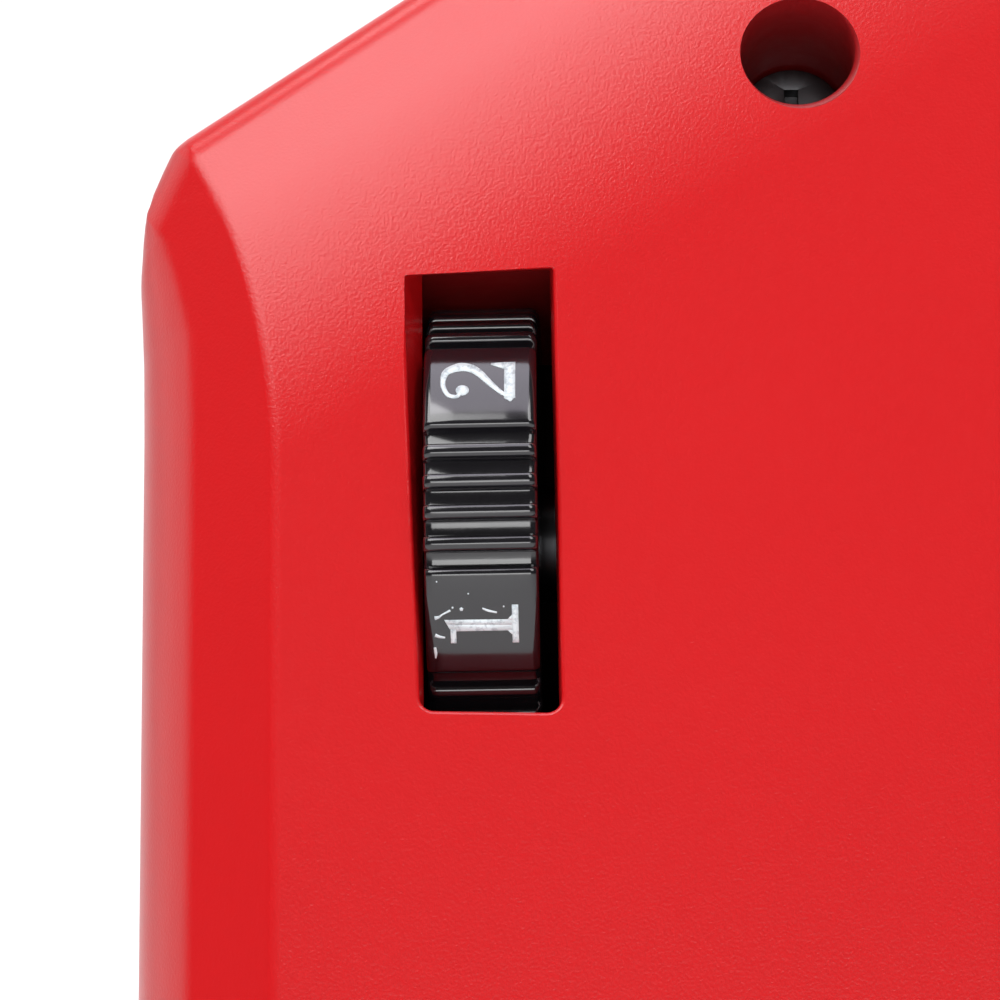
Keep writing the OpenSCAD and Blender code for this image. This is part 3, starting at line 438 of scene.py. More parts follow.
def core_path(coarse, bottom):
    """Outline 4 mm inside the housing as (x, z, outward x, outward z), from the lower left corner clockwise."""
    e = 4.0
    k = 3 if coarse else 1
    pts = []
    lx = -UX + e

    def add(x, z, mx, mz):
        pts.append((x, z, mx, mz))

    zb = bottom + e
    for q in np.linspace(0, 1, 5):
        a = math.radians(225 - 45 * q)
        add(lx, zb, math.cos(a), math.sin(a))
    for z in np.concatenate([np.arange(zb + 2, -6, 4.0), np.arange(-6, 12.8, 0.5 * k)]):
        add(lx, float(z), -1, 0)
    a1 = 90 + 62.5
    a2 = 90 + 32.95
    # corner points of the inset outline
    n1 = np.array([-STEEP[0], STEEP[1]])
    n2 = np.array([-ROOF[0], ROOF[1]])
    p1 = np.array([-16.88, 16.55]) - n1 * e
    p2 = np.array([-12.1, 20.9]) - n2 * e

    def cross(c1, q1, c2, q2):
        return np.linalg.solve(np.array([c1, c2]), np.array([np.dot(c1, q1), np.dot(c2, q2)]))

    c0 = cross(np.array([-1.0, 0]), np.array([lx, 0]), n1, p1)
    c1 = cross(n1, p1, n2, p2)
    ct = cross(n2, p2, np.array([0, 1.0]), np.array([0, TOP_Z - e]))

    def arc(c, d0, d1, r, steps):
        """round the inset corner c between outward directions d0 and d1 (degrees)"""
        m0 = np.array([math.cos(math.radians(d0)), math.sin(math.radians(d0))])
        m1 = np.array([math.cos(math.radians(d1)), math.sin(math.radians(d1))])
        half = math.radians(abs(d1 - d0)) / 2
        mid = (m0 + m1) / np.linalg.norm(m0 + m1)
        ctr = c - mid * r / math.cos(half)
        for q in np.linspace(0, 1, steps):
            a = math.radians(d0 + (d1 - d0) * q)
            add(ctr[0] + r * math.cos(a), ctr[1] + r * math.sin(a), math.cos(a), math.sin(a))

    def line(m, steps):
        """straight run from the last point to m"""
        x0, z0, mx, mz = pts[-1]
        for q in np.linspace(0, 1, steps + 2)[1:-1]:
            add(x0 + (m[0] - x0) * q, z0 + (m[1] - z0) * q, mx, mz)

    arc(c0, 180, a1, 1.8, 14 // k + 2)
    line(c1 - np.array([math.cos(math.radians(62.5)), math.sin(math.radians(62.5))]) * 0.45, 6 // k + 1)
    arc(c1, a1, a2, 1.5, 14 // k + 2)
    line(ct - np.array([math.cos(math.radians(32.95)), math.sin(math.radians(32.95))]) * 4.5, 34 // k)
    arc(ct, a2, 90, 14.0, 10 // k + 2)
    rc = np.array([UR - e, TOP_Z - e])
    line(rc - np.array([9.0, 0]), 8 // k)
    arc(rc, 90, 0, 9.0, 16 // k + 2)
    for z in np.concatenate([np.arange(TOP_Z - e - 12, zb + 2, -4.0)]):
        add(UR - e, float(z), 1, 0)
    for q in np.linspace(0, 1, 5):
        a = math.radians(0 - 90 * q)
        add(UR - e, zb, math.cos(a), math.sin(a))
    for x in np.linspace(UR - e - 6, lx + 6, 14):
        add(float(x), zb, 0, -1)
    add(lx, zb, 0, -1)
    return np.array(pts)


def housing_mesh(name, coarse=False, off=0.0, back=219.0, bottom=-100.0):
    fn = lambda q: housing(q, off, back, bottom)
    path = core_path(coarse, bottom)
    k = len(path)
    x, z, mx, mz = path.T
    # depth of the ring of ray origins: 10 mm under the front
    y0 = (z * SF + 10.0) / CF
    rings_o, rings_d = [], []
    cx, cz = 32.0, -30.0
    scales = np.concatenate([[0.02], np.linspace(0.72, 1.0, 12 if coarse else 58)])
    for s in scales:
        xs, zs = cx + (x - cx) * s, cz + (z - cz) * s
        ys = (zs * SF + 10.0) / CF
        rings_o.append(np.stack([xs, ys, zs], -1))
        rings_d.append(np.tile([0.0, -1.0, 0.0], (k, 1)))
    for q in np.linspace(0, 90, 8 if coarse else 30)[1:]:
        a = math.radians(q)
        rings_o.append(np.stack([x, y0, z], -1))
        rings_d.append(np.stack([mx * math.sin(a), np.full(k, -math.cos(a)), mz * math.sin(a)], -1))
    for q in [0.03, 0.08, 0.16, 0.3, 0.5, 0.75, 1.0]:
        y = y0 + (back - 4 - y0) * q
        rings_o.append(np.stack([x, y, z], -1))
        rings_d.append(np.stack([mx, np.zeros(k), mz], -1))
    for q in np.linspace(90, 180, 3 if coarse else 9)[1:]:
        a = math.radians(q)
        rings_o.append(np.stack([x, np.full(k, back - 4), z], -1))
        rings_d.append(np.stack([mx * math.sin(a), np.full(k, -math.cos(a)), mz * math.sin(a)], -1))
    for s in [0.7, 0.02]:
        rings_o.append(np.stack([cx + (x - cx) * s, np.full(k, back - 4), cz + (z - cz) * s], -1))
        rings_d.append(np.tile([0.0, 1.0, 0.0], (k, 1)))
    o, d = np.concatenate(rings_o), np.concatenate(rings_d)
    p = shoot(o, d, fn)
    p = p.reshape(len(rings_o), k, 3)
    return loft(name, [(r + ORIGIN) * MM for r in p])


def cutter_column(name, outline, depths, grow):
    """Column square to the console front. outline(n) gives points (u, w); depths is a list of n; grow adds an offset."""
    rings = []
    for n, g in zip(depths, grow):
        uv = outline(n, g)
        rings.append(face_pt(uv[:, 0], uv[:, 1], np.full(len(uv), n)))
    return loft(name, rings)


def round_poly(pts, radii, steps=7):
    out = []
    m = len(pts)
    for i in range(m):
        a, b, c = (np.array(pts[(i + q) % m], float) for q in (-1, 0, 1))
        r = radii[i]
        u, v = (a - b) / np.linalg.norm(a - b), (c - b) / np.linalg.norm(c - b)
        h = math.acos(float(np.clip(u @ v, -1, 1))) / 2
        t = r / math.tan(h)
        ctr = b + (u + v) / np.linalg.norm(u + v) * r / math.sin(h)
        p, q = b + u * t - ctr, b + v * t - ctr
        a0 = math.atan2(p[1], p[0])
        da = (math.atan2(q[1], q[0]) - a0 + math.pi) % (2 * math.pi) - math.pi
        for k in range(steps):
            an = a0 + da * k / (steps - 1)
            out.append(ctr + r * np.array([math.cos(an), math.sin(an)]))
    return np.array(out)


def grow_poly(p, g):
    """Offsets a closed anticlockwise-or-clockwise loop outward by g."""
    nxt, prv = np.roll(p, -1, 0), np.roll(p, 1, 0)
    t = nxt - prv
    t /= np.maximum(np.linalg.norm(t, axis=1, keepdims=True), 1e-9)
    nn = np.stack([t[:, 1], -t[:, 0]], -1)
    area = np.sum(p[:, 0] * nxt[:, 1] - nxt[:, 0] * p[:, 1])
    return p + nn * g * (1 if area > 0 else -1)


# dial slot: the mouth is a little skewed, the walls close in toward the wheel
SLOT_OUT = [(-3.87, 11.22), (-3.11, -10.91), (3.77, -11.13), (3.64, 11.42)]
SLOT_IN = [(-3.02, 12.15), (-3.08, -10.95), (3.6, -11.15), (3.42, 12.3)]
SLOT_R = [0.12, 0.72, 0.72, 0.12]
LIP = 0.22


def slot_outline(n, g):
    q = min(max(-n / 3.0, 0), 1)
    pts = [(a[0] + (b[0] - a[0]) * q, a[1] + (b[1] - a[1]) * q) for a, b in zip(SLOT_OUT, SLOT_IN)]
    p = round_poly(pts, SLOT_R)
    return grow_poly(p, g)


lip_a = [math.radians(a) for a in (80, 62, 45, 28, 12, 0)]
lip_n = [-LIP + LIP * math.sin(a) for a in lip_a]
lip_g = [LIP - LIP * math.cos(a) for a in lip_a]
top_n = 1.5
top_g = lip_g[0] + (top_n - lip_n[0]) * math.tan(math.radians(80)) * 0.12
slot_cut = cutter_column("cut_slot", slot_outline, [top_n, 0.02] + lip_n + [-1.5, -3.0, -7.0], [lip_g[0] + 0.25, lip_g[0] + 0.03] + lip_g + [0, 0, 0])

FACE_SCREWS = [(16.1, 22.8), (62, 22.8), (16.1, -66), (62, -66)]
WELL_LIP = 0.62
well_a = [math.radians(a) for a in (84, 76, 67, 57, 47, 37, 27, 17, 8, 0)]
well_n = [-WELL_LIP + WELL_LIP * math.sin(a) for a in well_a]
well_g = [WELL_LIP - WELL_LIP * math.cos(a) for a in well_a]
cuts = [slot_cut]


def circle_outline(cx, cy, r, k=64):
    a = np.linspace(0, 2 * math.pi, k, endpoint=False)

    def f(n, g):
        rr = r(n) if callable(r) else r
        return np.stack([cx + (rr + g) * np.cos(a), cy + (rr + g) * np.sin(a)], -1)
    return f


for i, (u, w) in enumerate(FACE_SCREWS):
    cuts.append(cutter_column(f"cut_well_{i}", circle_outline(u, w, 2.88), [3.0, 0.02] + well_n + [-1.5, -13.0, -13.02, -30], [1.6, well_g[0] + 0.03] + well_g + [0, 0.12, -1.18, -1.18]))


def box_cut(name, a, b):
    x0, y0, z0 = (v * MM for v in a)
    x1, y1, z1 = (v * MM for v in b)
    return loft(name, [[(x0, y0, z), (x1, y0, z), (x1, y1, z), (x0, y1, z)] for z in (z0, z1)], smooth=False)


def rect_outline(u0, w0, u1, w1, r):
    return lambda n, g: grow_poly(round_poly([(u0, w0), (u1, w0), (u1, w1), (u0, w1)], [r] * 4), g)


cuts.append(cutter_column("cut_switch", rect_outline(38 - 9.6, -36 - 14.4, 38 + 9.6, -36 + 14.4, 0.5), [4, -8], [0, 0]))


def x_cylinder(name, x0, x1, y, z, r, k=64):
    a = np.linspace(0, 2 * math.pi, k, endpoint=False)
    return loft(name, [np.stack([np.full(k, x), y + r * np.cos(a), z + r * np.sin(a)], -1) * MM for x in (x0, x1)])


cuts.append(x_cylinder("cut_spindle", -70, -55, 28, 138, 14.3))
cuts.append(x_cylinder("cut_motor", -70, -55, 97, 88, 11))
for i in range(7):
    ring = round_poly([(20 + 12 * i, 68), (24 + 12 * i, 68), (24 + 12 * i, 98), (20 + 12 * i, 98)], [1.9] * 4, 6)
    cuts.append(loft(f"cut_vent_{i}", [np.stack([np.full(len(ring), x), ring[:, 0], ring[:, 1]], -1) * MM for x in (-163, -155)]))

body = housing_mesh("console_shell")
inner = housing_mesh("cut_inner", True, 3.0, 240.0, -106.0)
pillars = []
for i, (u, w) in enumerate(FACE_SCREWS):
    pillars.append(cutter_column(f"pillar_{i}", circle_outline(u, w, 4.6, 40), [-2.3, -24.0], [0, 0]))
pillars.append(cutter_column("dial_hood_rib", rect_outline(-6.5, 12.7, 8.5, 14.2, 0.3), [-2.3, -21.0], [0, 0]))


def solid_mat(o, index):
    o.data.materials.clear()
    for m in (RED, RED_INSIDE_SHADE):
        o.data.materials.append(m)
    o.data.polygons.foreach_set("material_index", [index] * len(o.data.polygons))


# material index 1 is the painted-shade red for the inside and the cut walls; the slot walls keep the outside red
solid_mat(body, 0)
solid_mat(inner, 1)
for c in cuts + pillars:
    solid_mat(c, 1)
solid_mat(slot_cut, 0)


def boolean(target, other, op):
    m = target.modifiers.new(op.lower(), "BOOLEAN")
    m.operation = op
    m.object = other
    m.solver = "MANIFOLD"
    return m


boolean(body, inner, "DIFFERENCE")
apply_mods(body)
for p_ in pillars:
    boolean(body, p_, "UNION")
apply_mods(body)
for c in cuts:
    boolean(body, c, "DIFFERENCE")
apply_mods(body)
for c in [inner] + cuts + pillars:
    bpy.data.objects.remove(c)


def set_housing_normals(o):
    """Exact normals on the outer skin, angle-based ones in the cuts."""
    me = o.data
    me.polygons.foreach_set("use_smooth", [True] * len(me.polygons))
    bm = bmesh.new()
    bm.from_mesh(me)
    bmesh.ops.remove_doubles(bm, verts=bm.verts, dist=2e-7)
    for e in bm.edges:
        if len(e.link_faces) == 2:
            e.smooth = e.calc_face_angle(0) < math.radians(31)
    bm.to_mesh(me)
    bm.free()
    me.update()
    nl = len(me.loops)
    vi = np.zeros(nl, np.int32)
    me.loops.foreach_get("vertex_index", vi)
    co = np.zeros(len(me.vertices) * 3)
    me.vertices.foreach_get("co", co)
    co = co.reshape(-1, 3) / MM - ORIGIN
    cn = np.array([tuple(c.vector) for c in me.corner_normals])
    val = np.abs(housing(co))
    grad = gradient(co, housing)
    fn = np.zeros(len(me.polygons) * 3)
    me.polygons.foreach_get("normal", fn)
    fn = fn.reshape(-1, 3)
    ls = np.zeros(len(me.polygons), np.int32)
    lt = np.zeros(len(me.polygons), np.int32)
    me.polygons.foreach_get("loop_start", ls)
    me.polygons.foreach_get("loop_total", lt)
    poly = np.repeat(np.arange(len(ls)), lt)
    near = val[vi] < 0.02
    # a face is skin if every corner lies on it and it looks the same way
    skin = np.ones(len(ls), bool)
    np.logical_and.at(skin, poly, near)
    agree = np.einsum("ij,ij->i", fn[poly], grad[vi]) > 0.55
    use = skin[poly] & agree
    cn[use] = grad[vi][use]
    me.normals_split_custom_set([tuple(v) for v in cn])
    return int(skin.sum()), len(ls)


print("housing skin faces", set_housing_normals(body))
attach(body, "frame")
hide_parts("console_housing")


# ------------------------------------------------------------------ speed dial
PHASE = 17.5  # degrees the middle of pad "1" sits under the line of sight


def wheel():
    """Six pads with four ribs between neighbours, as a lathe whose radius changes with the angle."""
    w2 = 2.8
    c = 0.42  # rounded rim
    xs = [(-w2, -c * 1.0), (-w2 + c * 0.29, -c * 0.29), (-w2 + c, 0.0)]
    prof_x = [-w2, -w2 + c * 0.08, -w2 + c * 0.3, -w2 + c * 0.62, -w2 + c, -1.2, 0.0, 1.2, w2 - c, w2 - c * 0.62, w2 - c * 0.3, w2 - c * 0.08, w2]
    drop = [c, c * 0.6, c * 0.29, c * 0.08, 0, 0, 0, 0, 0, c * 0.08, c * 0.29, c * 0.6, c]
    # breakpoints over one 60 degree period, measured from a pad centre
    ang, rad = [], []

    def put(a, r):
        ang.append(a)
        rad.append(r)

    h = 26.25 / 2
    deep = 0.62
    g = 3.75
    edge = [(-1.6, 0.0), (-1.186, -0.0116), (-0.8, -0.0456), (-0.469, -0.0996), (-0.214, -0.17), (-0.0545, -0.252), (0.0, -0.34)]
    for q in np.linspace(-h + 1.85, h - 1.85, 15):
        put(q, 0.0)
    pos = h
    for j in range(5):
        for a, r in edge:
            put(pos + a, r)
        for a, r in ((0.10, -0.48), (0.30, -0.6), (0.75, -deep), (g - 0.75, -deep), (g - 0.30, -0.6), (g - 0.10, -0.48)):
            put(pos + a, r)
        for a, r in edge[::-1]:
            put(pos + g - a, r)
        if j < 4:
            put(pos + g * 1.5, 0.012)
        pos += 2 * g
    ang = np.array(ang)
    rad = np.array(rad)
    full_a = np.concatenate([ang + 60 * k for k in range(6)])
    full_r = np.concatenate([rad] * 6)
    rings = []

    def ring(x, dr, floor=None):
        r = DIAL_R - dr + full_r * (1 if floor is None else 0)
        if floor is not None:
            r = np.full_like(full_r, floor)
        th = np.radians(full_a + PHASE)
        # th 0 looks along +n toward the operator, growing downward
        base = ORIGIN + np.array([-0.07, DIAL_DEPTH * CF, -DIAL_DEPTH * SF])
        # direction toward the camera, 15 degrees under the front's normal
        a = th + math.radians(15.0)
        n = np.cos(a)
        w = -np.sin(a)
        y = w * SF - n * CF
        z = w * CF + n * SF
        return (base + np.stack([np.full_like(r, x), r * y, r * z], -1)) * MM
    rings.append(ring(-1.4, 0, 5.2))
    rings.append(ring(-1.4, 0, 9.6))
    rings.append(ring(-w2, 0, 9.8))
    for x, dr in zip(prof_x, drop):
        rings.append(ring(x, dr))
    rings.append(ring(w2, 0, 9.8))
    rings.append(ring(w2, 0, 3.03))
    o = loft("dial_wheel_moulding", rings, close_ends=False)
    # the bore closes the lathe
    me = o.data
    k = len(full_a)
    bm = bmesh.new()
    bm.from_mesh(me)
    bm.verts.ensure_lookup_table()
    last = len(rings) - 1
    extra = [bm.verts.new(Vector(v)) for v in ring(-w2, 0, 3.03)]
    hub = [bm.verts.new(Vector(v)) for v in ring(-w2, 0, 5.0)]
    bm.verts.ensure_lookup_table()
    for i in range(k):
        j = (i + 1) % k
        bm.faces.new((bm.verts[last * k + i], bm.verts[last * k + j], extra[j], extra[i]))
        bm.faces.new((extra[i], extra[j], hub[j], hub[i]))
        bm.faces.new((hub[i], hub[j], bm.verts[j], bm.verts[i]))
    bmesh.ops.recalc_face_normals(bm, faces=bm.faces)
    for f in bm.faces:
        f.smooth = True
    for e_ in bm.edges:
        if len(e_.link_faces) == 2:
            e_.smooth = e_.calc_face_angle(0) < math.radians(40)
    bm.to_mesh(me)
    bm.free()
    return o


dial = wheel()
paint(dial, MATS["black_gloss"])
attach(dial, "speed_dial")
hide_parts("dial_wheel")


# numerals: strokes with thick stems and thin hairlines, laid on their side round the rim
def stroke(pts, widths, k=10):
    """A flat ribbon with changing width through the points, as a list of outline points (closed)."""
    pts = np.array(pts, float)
    t = np.linspace(0, 1, len(pts))
    f = np.linspace(0, 1, k * (len(pts) - 1) + 1)
    # Catmull-Rom through the points
    out = []
    wd = np.interp(f, t, widths)
    for q in f:
        s = q * (len(pts) - 1)
        i = min(int(s), len(pts) - 2)
        u = s - i
        p0, p1, p2, p3 = (pts[min(max(i + d, 0), len(pts) - 1)] for d in (-1, 0, 1, 2))
        out.append(0.5 * ((2 * p1) + (-p0 + p2) * u + (2 * p0 - 5 * p1 + 4 * p2 - p3) * u * u + (-p0 + 3 * p1 - 3 * p2 + p3) * u ** 3))
    c = np.array(out)
    tan = np.gradient(c, axis=0)
    tan /= np.maximum(np.linalg.norm(tan, axis=1, keepdims=True), 1e-9)
    nn = np.stack([-tan[:, 1], tan[:, 0]], -1)
    left, right = c + nn * wd[:, None] / 2, c - nn * wd[:, None] / 2
    quads = [[left[i], left[i + 1], right[i + 1], right[i]] for i in range(len(c) - 1)]
    return quads


def disc(x, y, r, k=18):
    a = np.linspace(0, 2 * math.pi, k, endpoint=False)
    c = np.array([x, y])
    ring = np.stack([x + r * np.cos(a), y + r * np.sin(a)], -1)
    return [[c, ring[i], ring[(i + 1) % k]] for i in range(k)]


def bar(x0, x1, y0, y1, k=8):
    """A straight bar, cut across into strips so that it follows the rim."""
    xs = np.linspace(x0, x1, k + 1)
    return [[(xs[i], y0), (xs[i + 1], y0), (xs[i + 1], y1), (xs[i], y1)] for i in range(k)]


# glyphs in a box 1 high, x to the right, y up
GLYPHS = {
    "1": [[[(0.175, 0.06), (0.251, 0.06), (0.268, 0.94), (0.2065, 0.907), (0.175, 0.86)]], [[(0.251, 0.06), (0.328, 0.06), (0.334, 0.975), (0.268, 0.94)]],
          bar(0.002, 0.527, 0.0, 0.085), [[(0.11, 0.08), (0.18, 0.08), (0.18, 0.15)], [(0.324, 0.08), (0.395, 0.08), (0.324, 0.15)]],
          bar(0.006, 0.20, 0.822, 0.897)],
    "2": [disc(0.108, 0.705, 0.088),
          stroke([(0.055, 0.735), (0.0, 0.785), (0.03, 0.89), (0.15, 0.95), (0.29, 0.962), (0.45, 0.915), (0.541, 0.75), (0.52, 0.61), (0.43, 0.495), (0.30, 0.395), (0.19, 0.31), (0.07, 0.20), (-0.01, 0.10)],
                 [0.05, 0.055, 0.06, 0.062, 0.068, 0.11, 0.165, 0.150, 0.120, 0.095, 0.08, 0.06, 0.05], 8),
          bar(-0.04, 0.625, 0.004, 0.151), [[(-0.04, 0.02), (-0.04, 0.15), (-0.10, 0.062)]],
          [[(0.49, 0.149), (0.625, 0.149), (0.611, 0.327), (0.577, 0.327)]]],
    "3": [disc(0.10, 0.78, 0.075), disc(0.10, 0.22, 0.08),
          stroke([(0.05, 0.80), (0.12, 0.93), (0.26, 0.98), (0.42, 0.90), (0.45, 0.76), (0.38, 0.61), (0.22, 0.535)], [0.05, 0.06, 0.07, 0.12, 0.14, 0.09, 0.05], 8),
          stroke([(0.22, 0.535), (0.40, 0.47), (0.49, 0.31), (0.44, 0.12), (0.28, 0.02), (0.12, 0.05), (0.04, 0.20)], [0.05, 0.10, 0.155, 0.13, 0.07, 0.055, 0.05], 8)],
    "4": [stroke([(0.40, 0.02), (0.40, 0.98)], [0.145, 0.145], 6),
          stroke([(0.36, 0.97), (0.20, 0.64), (0.03, 0.30)], [0.05, 0.05, 0.05], 6),
          stroke([(0.03, 0.285), (0.56, 0.285)], [0.06, 0.06], 5),
          stroke([(0.26, 0.02), (0.40, 0.03), (0.54, 0.02)], [0.045, 0.06, 0.045], 5)],
    "5": [disc(0.10, 0.20, 0.08),
          stroke([(0.11, 0.95), (0.47, 0.93)], [0.12, 0.10], 5),
          stroke([(0.11, 0.97), (0.095, 0.75), (0.085, 0.53)], [0.05, 0.045, 0.04], 6),
          stroke([(0.085, 0.53), (0.22, 0.61), (0.40, 0.55), (0.49, 0.34), (0.43, 0.12), (0.27, 0.02), (0.12, 0.05), (0.04, 0.18)], [0.045, 0.06, 0.11, 0.155, 0.12, 0.07, 0.055, 0.05], 8)],
    "6": [stroke([(0.47, 0.93), (0.32, 0.88), (0.14, 0.67), (0.075, 0.36), (0.14, 0.11), (0.28, 0.02), (0.42, 0.08), (0.485, 0.29), (0.42, 0.50), (0.29, 0.58), (0.16, 0.52), (0.095, 0.36)],
                 [0.05, 0.06, 0.11, 0.155, 0.12, 0.06, 0.10, 0.15, 0.10, 0.05, 0.045, 0.04], 8)],
}


def numeral_obj(ch, pad):
    """Numeral on pad number pad, its top toward the left side of the wheel."""
    verts, faces = [], []
    height = 3.72
    base = ORIGIN + np.array([-0.07, DIAL_DEPTH * CF, -DIAL_DEPTH * SF])
    layer = 0
    for part in GLYPHS[ch]:
        layer += 1
        for poly in part:
            idx = []
            for (gx, gy) in poly:
                # glyph up = -u; glyph right = up the wheel
                u = 1.78 - gy * height
                arc = (gx - 0.27) * height
                a = math.radians(PHASE - 60.0 * pad + 15.0) - arc / DIAL_R
                r = DIAL_R + 0.022 + 0.0006 * layer
                n, w = math.cos(a), -math.sin(a)
                idx.append(len(verts))
                verts.append((base + np.array([u, r * (w * SF - n * CF), r * (w * CF + n * SF)])) * MM)
            faces.append(idx)
    o = mesh_obj(f"numeral_{ch}", verts, faces)
    bm = bmesh.new()
    bm.from_mesh(o.data)
    bmesh.ops.remove_doubles(bm, verts=bm.verts, dist=1e-7)
    axis = Vector(base * MM)
    for f in bm.faces:
        c = f.calc_center_median()
        rad = Vector((0, c.y - axis.y, c.z - axis.z))
        if f.normal.dot(rad) < 0:
            f.normal_flip()
    bm.to_mesh(o.data)
    bm.free()
    s = o.modifiers.new("thick", "SOLIDIFY")
    s.thickness = 0.045 * MM
    s.offset = -1
    apply_mods(o)
    return o


def ink_material():
    m, nt, p = tree("numeral_ink")
    v = coords(nt)
    worn = remap(nt, noise(nt, v, 2600, 4, 0.7), 0, 1, 0.36, 0.5)
    nt.links.new(mix(nt, worn, (0.50, 0.56, 0.60), (0.80, 0.87, 0.90)), p.inputs["Base Color"])
    nt.links.new(remap(nt, noise(nt, v, 3000, 3), 0.35, 0.6), p.inputs["Roughness"])
    nt.links.new(bump(nt, noise(nt, v, 4200, 2), 0.3, 0.00001), p.inputs["Normal"])
    return m


INK = ink_material()
# ink smeared and chipped at the left of the numeral in use
WEAR = [stroke([(0.362, 1.10), (0.375, 1.04), (0.408, 1.0), (0.463, 0.89)], [0.055, 0.03, 0.018, 0.03], 5), disc(0.477, 0.745, 0.028, 5), disc(0.50, 0.86, 0.015, 5),
        stroke([(0.125, 1.10), (0.10, 1.04), (0.088, 0.97)], [0.05, 0.035, 0.02], 5), stroke([(-0.05, 1.11), (-0.13, 1.10), (-0.21, 1.105)], [0.035, 0.04, 0.015], 4),
        stroke([(0.485, 0.47), (0.45, 0.39), (0.425, 0.28)], [0.02, 0.03, 0.02], 4), disc(0.684, 0.65, 0.012, 5), disc(0.505, 0.19, 0.012, 5), disc(0.85, 1.06, 0.011, 5)]
for i, ch in enumerate("123456"):
    if ch == "1":
        GLYPHS["1"] = GLYPHS["1"] + WEAR
    o = numeral_obj(ch, i)
    o.name = f"dial_numeral_{ch}"
    paint(o, INK)
    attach(o, "speed_dial")


# ------------------------------------------------------------------ wire brush
def bristles():
    rng = np.random.default_rng(7)
    verts, faces = [], []
    cy, cz = 28.0, 138.0
    k = 5
    count = 2600
    for i in range(count):
        a = rng.uniform(0, 2 * math.pi)
        x = rng.uniform(120.2, 129.8)
        r0, r1 = 16.8, 37.8 - abs(rng.normal(0, 0.35))
        r1 = min(r1, 37.9)
        wob = rng.uniform(0.2, 0.5)
        ph = rng.uniform(0, 6.28)
        lean = rng.normal(0, 0.03)
        wire = 0.13
        prev = None
        for s in range(k + 1):
            q = s / k
            r = r0 + (r1 - r0) * q
            aa = a + lean * q + 0.012 * wob * math.sin(ph + q * 9)
            xx = x + (x - 125.0) * 0.10 * q + 0.25 * wob * math.sin(ph * 1.7 + q * 11)
            xx = min(max(xx, 119.4), 130.6)
            c = np.array([xx, cy + r * math.cos(aa), cz + r * math.sin(aa)])
            tt = np.array([0, -math.sin(aa), math.cos(aa)])
            ids = []
            for e1, e2 in ((1, 0), (-0.5, 0.87), (-0.5, -0.87)):
                ids.append(len(verts))
                verts.append((c + np.array([wire * e1, 0, 0]) + tt * wire * e2) * MM)
            if prev:
                for m in range(3):
                    n = (m + 1) % 3
                    faces.append((prev[m], prev[n], ids[n], ids[m]))
            prev = ids
        faces.append(tuple(prev))
    return mesh_obj("brush_wires", verts, faces)


brush = bristles()
paint(brush, MATS["wire"])
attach(brush, "spindle")
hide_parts("brush_bristles")

# ------------------------------------------------------------------ stage, light, camera
def stage():
    m, nt, p = tree("studio_paper")
    v = coords(nt)
    nt.links.new(mix(nt, remap(nt, noise(nt, v, 3, 2), 0, 1), (0.86, 0.86, 0.86), (0.88, 0.88, 0.88)), p.inputs["Base Color"])
    p.inputs["Roughness"].default_value = 0.85
    prof = [(-6.0, 0.0), (1.6, 0.0)] + [(1.6 + 1.2 * math.sin(a), 1.2 - 1.2 * math.cos(a)) for a in np.linspace(0.1, math.pi / 2, 14)] + [(2.8, 5.0)]
    verts, faces = [], []
    for y, z in prof:
        verts += [(-7, y, z), (7, y, z)]
    for i in range(len(prof) - 1):
        faces.append((2 * i, 2 * i + 1, 2 * i + 3, 2 * i + 2))
    o = mesh_obj("studio_floor", verts, faces)
    paint(o, m)


stage()
world = bpy.data.worlds.new("studio")
bpy.context.scene.world = world
world.use_nodes = True
bg = world.node_tree.nodes["Background"]
bg.inputs["Color"].default_value = (1.0, 0.985, 0.985, 1)
bg.inputs["Strength"].default_value = 0.09


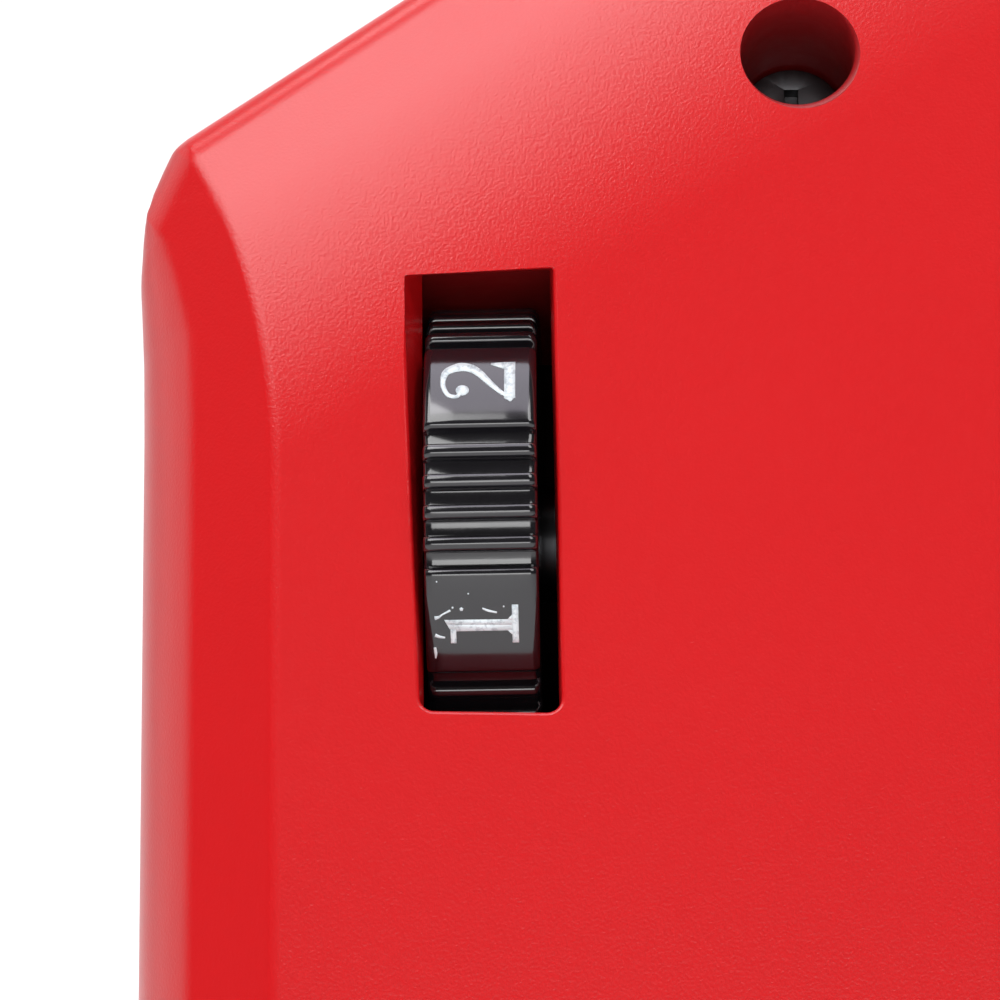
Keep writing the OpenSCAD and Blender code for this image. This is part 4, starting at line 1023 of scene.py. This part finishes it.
def area(name, pos, aim, size, power, color=(1, 1, 1), size_y=None):
    d = bpy.data.lights.new(name, "AREA")
    d.shape = "RECTANGLE"
    d.size = size
    d.size_y = size_y or size
    d.energy = power
    d.color = color
    o = bpy.data.objects.new(name, d)
    o.location = pos
    o.rotation_mode = "QUATERNION"
    o.rotation_quaternion = (Vector(aim) - Vector(pos)).to_track_quat("-Z", "Y")
    bpy.context.scene.collection.objects.link(o)
    return o


TARGET = (-0.14, -0.08, 0.15)
area("key", (-0.66, -0.66, 1.19), TARGET, 0.85, 9.2, size_y=0.70)
area("key_right", (0.419, -0.70, 1.146), TARGET, 0.5, 4.7, size_y=0.7)
area("overhead", (-0.14, -0.26, 1.75), TARGET, 1.0, 9.2, color=(0.93, 0.88, 1.0), size_y=1.1)
area("rim_left", (-1.3, 0.4, 0.5), TARGET, 1.0, 2.6, size_y=1.2)
area("back_wash", (0.0, 1.0, 2.2), (0.0, 2.6, 0.4), 2.0, 60)
area("front_strip", (-0.115, -0.88, 0.125), TARGET, 0.55, 1.75, size_y=0.2).visible_camera = False

# camera: close on the dial corner, a little under the line square to the console front
ALPHA, AZ, ROLL = 15.0, 1.75, 1.0
FOCAL = 4500.0
AIM = (0.88, -0.456, 0.0)
sa, ca = math.sin(math.radians(ALPHA)), math.cos(math.radians(ALPHA))
sz_, cz_ = math.sin(math.radians(AZ)), math.cos(math.radians(AZ))
to_cam = Vector(face_pt(sz_, -sa * cz_, ca * cz_)) - Vector(face_pt(0, 0, 0))
to_cam.normalize()
cam_data = bpy.data.cameras.new("camera")
cam_data.sensor_width = 36
cam_data.lens = FOCAL / 1000 * 36
cam_data.clip_start = 0.01
cam_data.clip_end = 50
cam = bpy.data.objects.new("camera", cam_data)
bpy.context.scene.collection.objects.link(cam)
aim = Vector(face_pt(*AIM))
cam.location = aim + to_cam * (FOCAL * 0.049 * MM)
cam.rotation_mode = "QUATERNION"
cam.rotation_quaternion = (-to_cam).to_track_quat("-Z", "Y") @ Matrix.Rotation(math.radians(-ROLL), 4, "Z").to_quaternion()
bpy.context.scene.camera = cam
bpy.context.scene.view_settings.view_transform = "Standard"
bpy.context.scene.view_settings.look = "None"
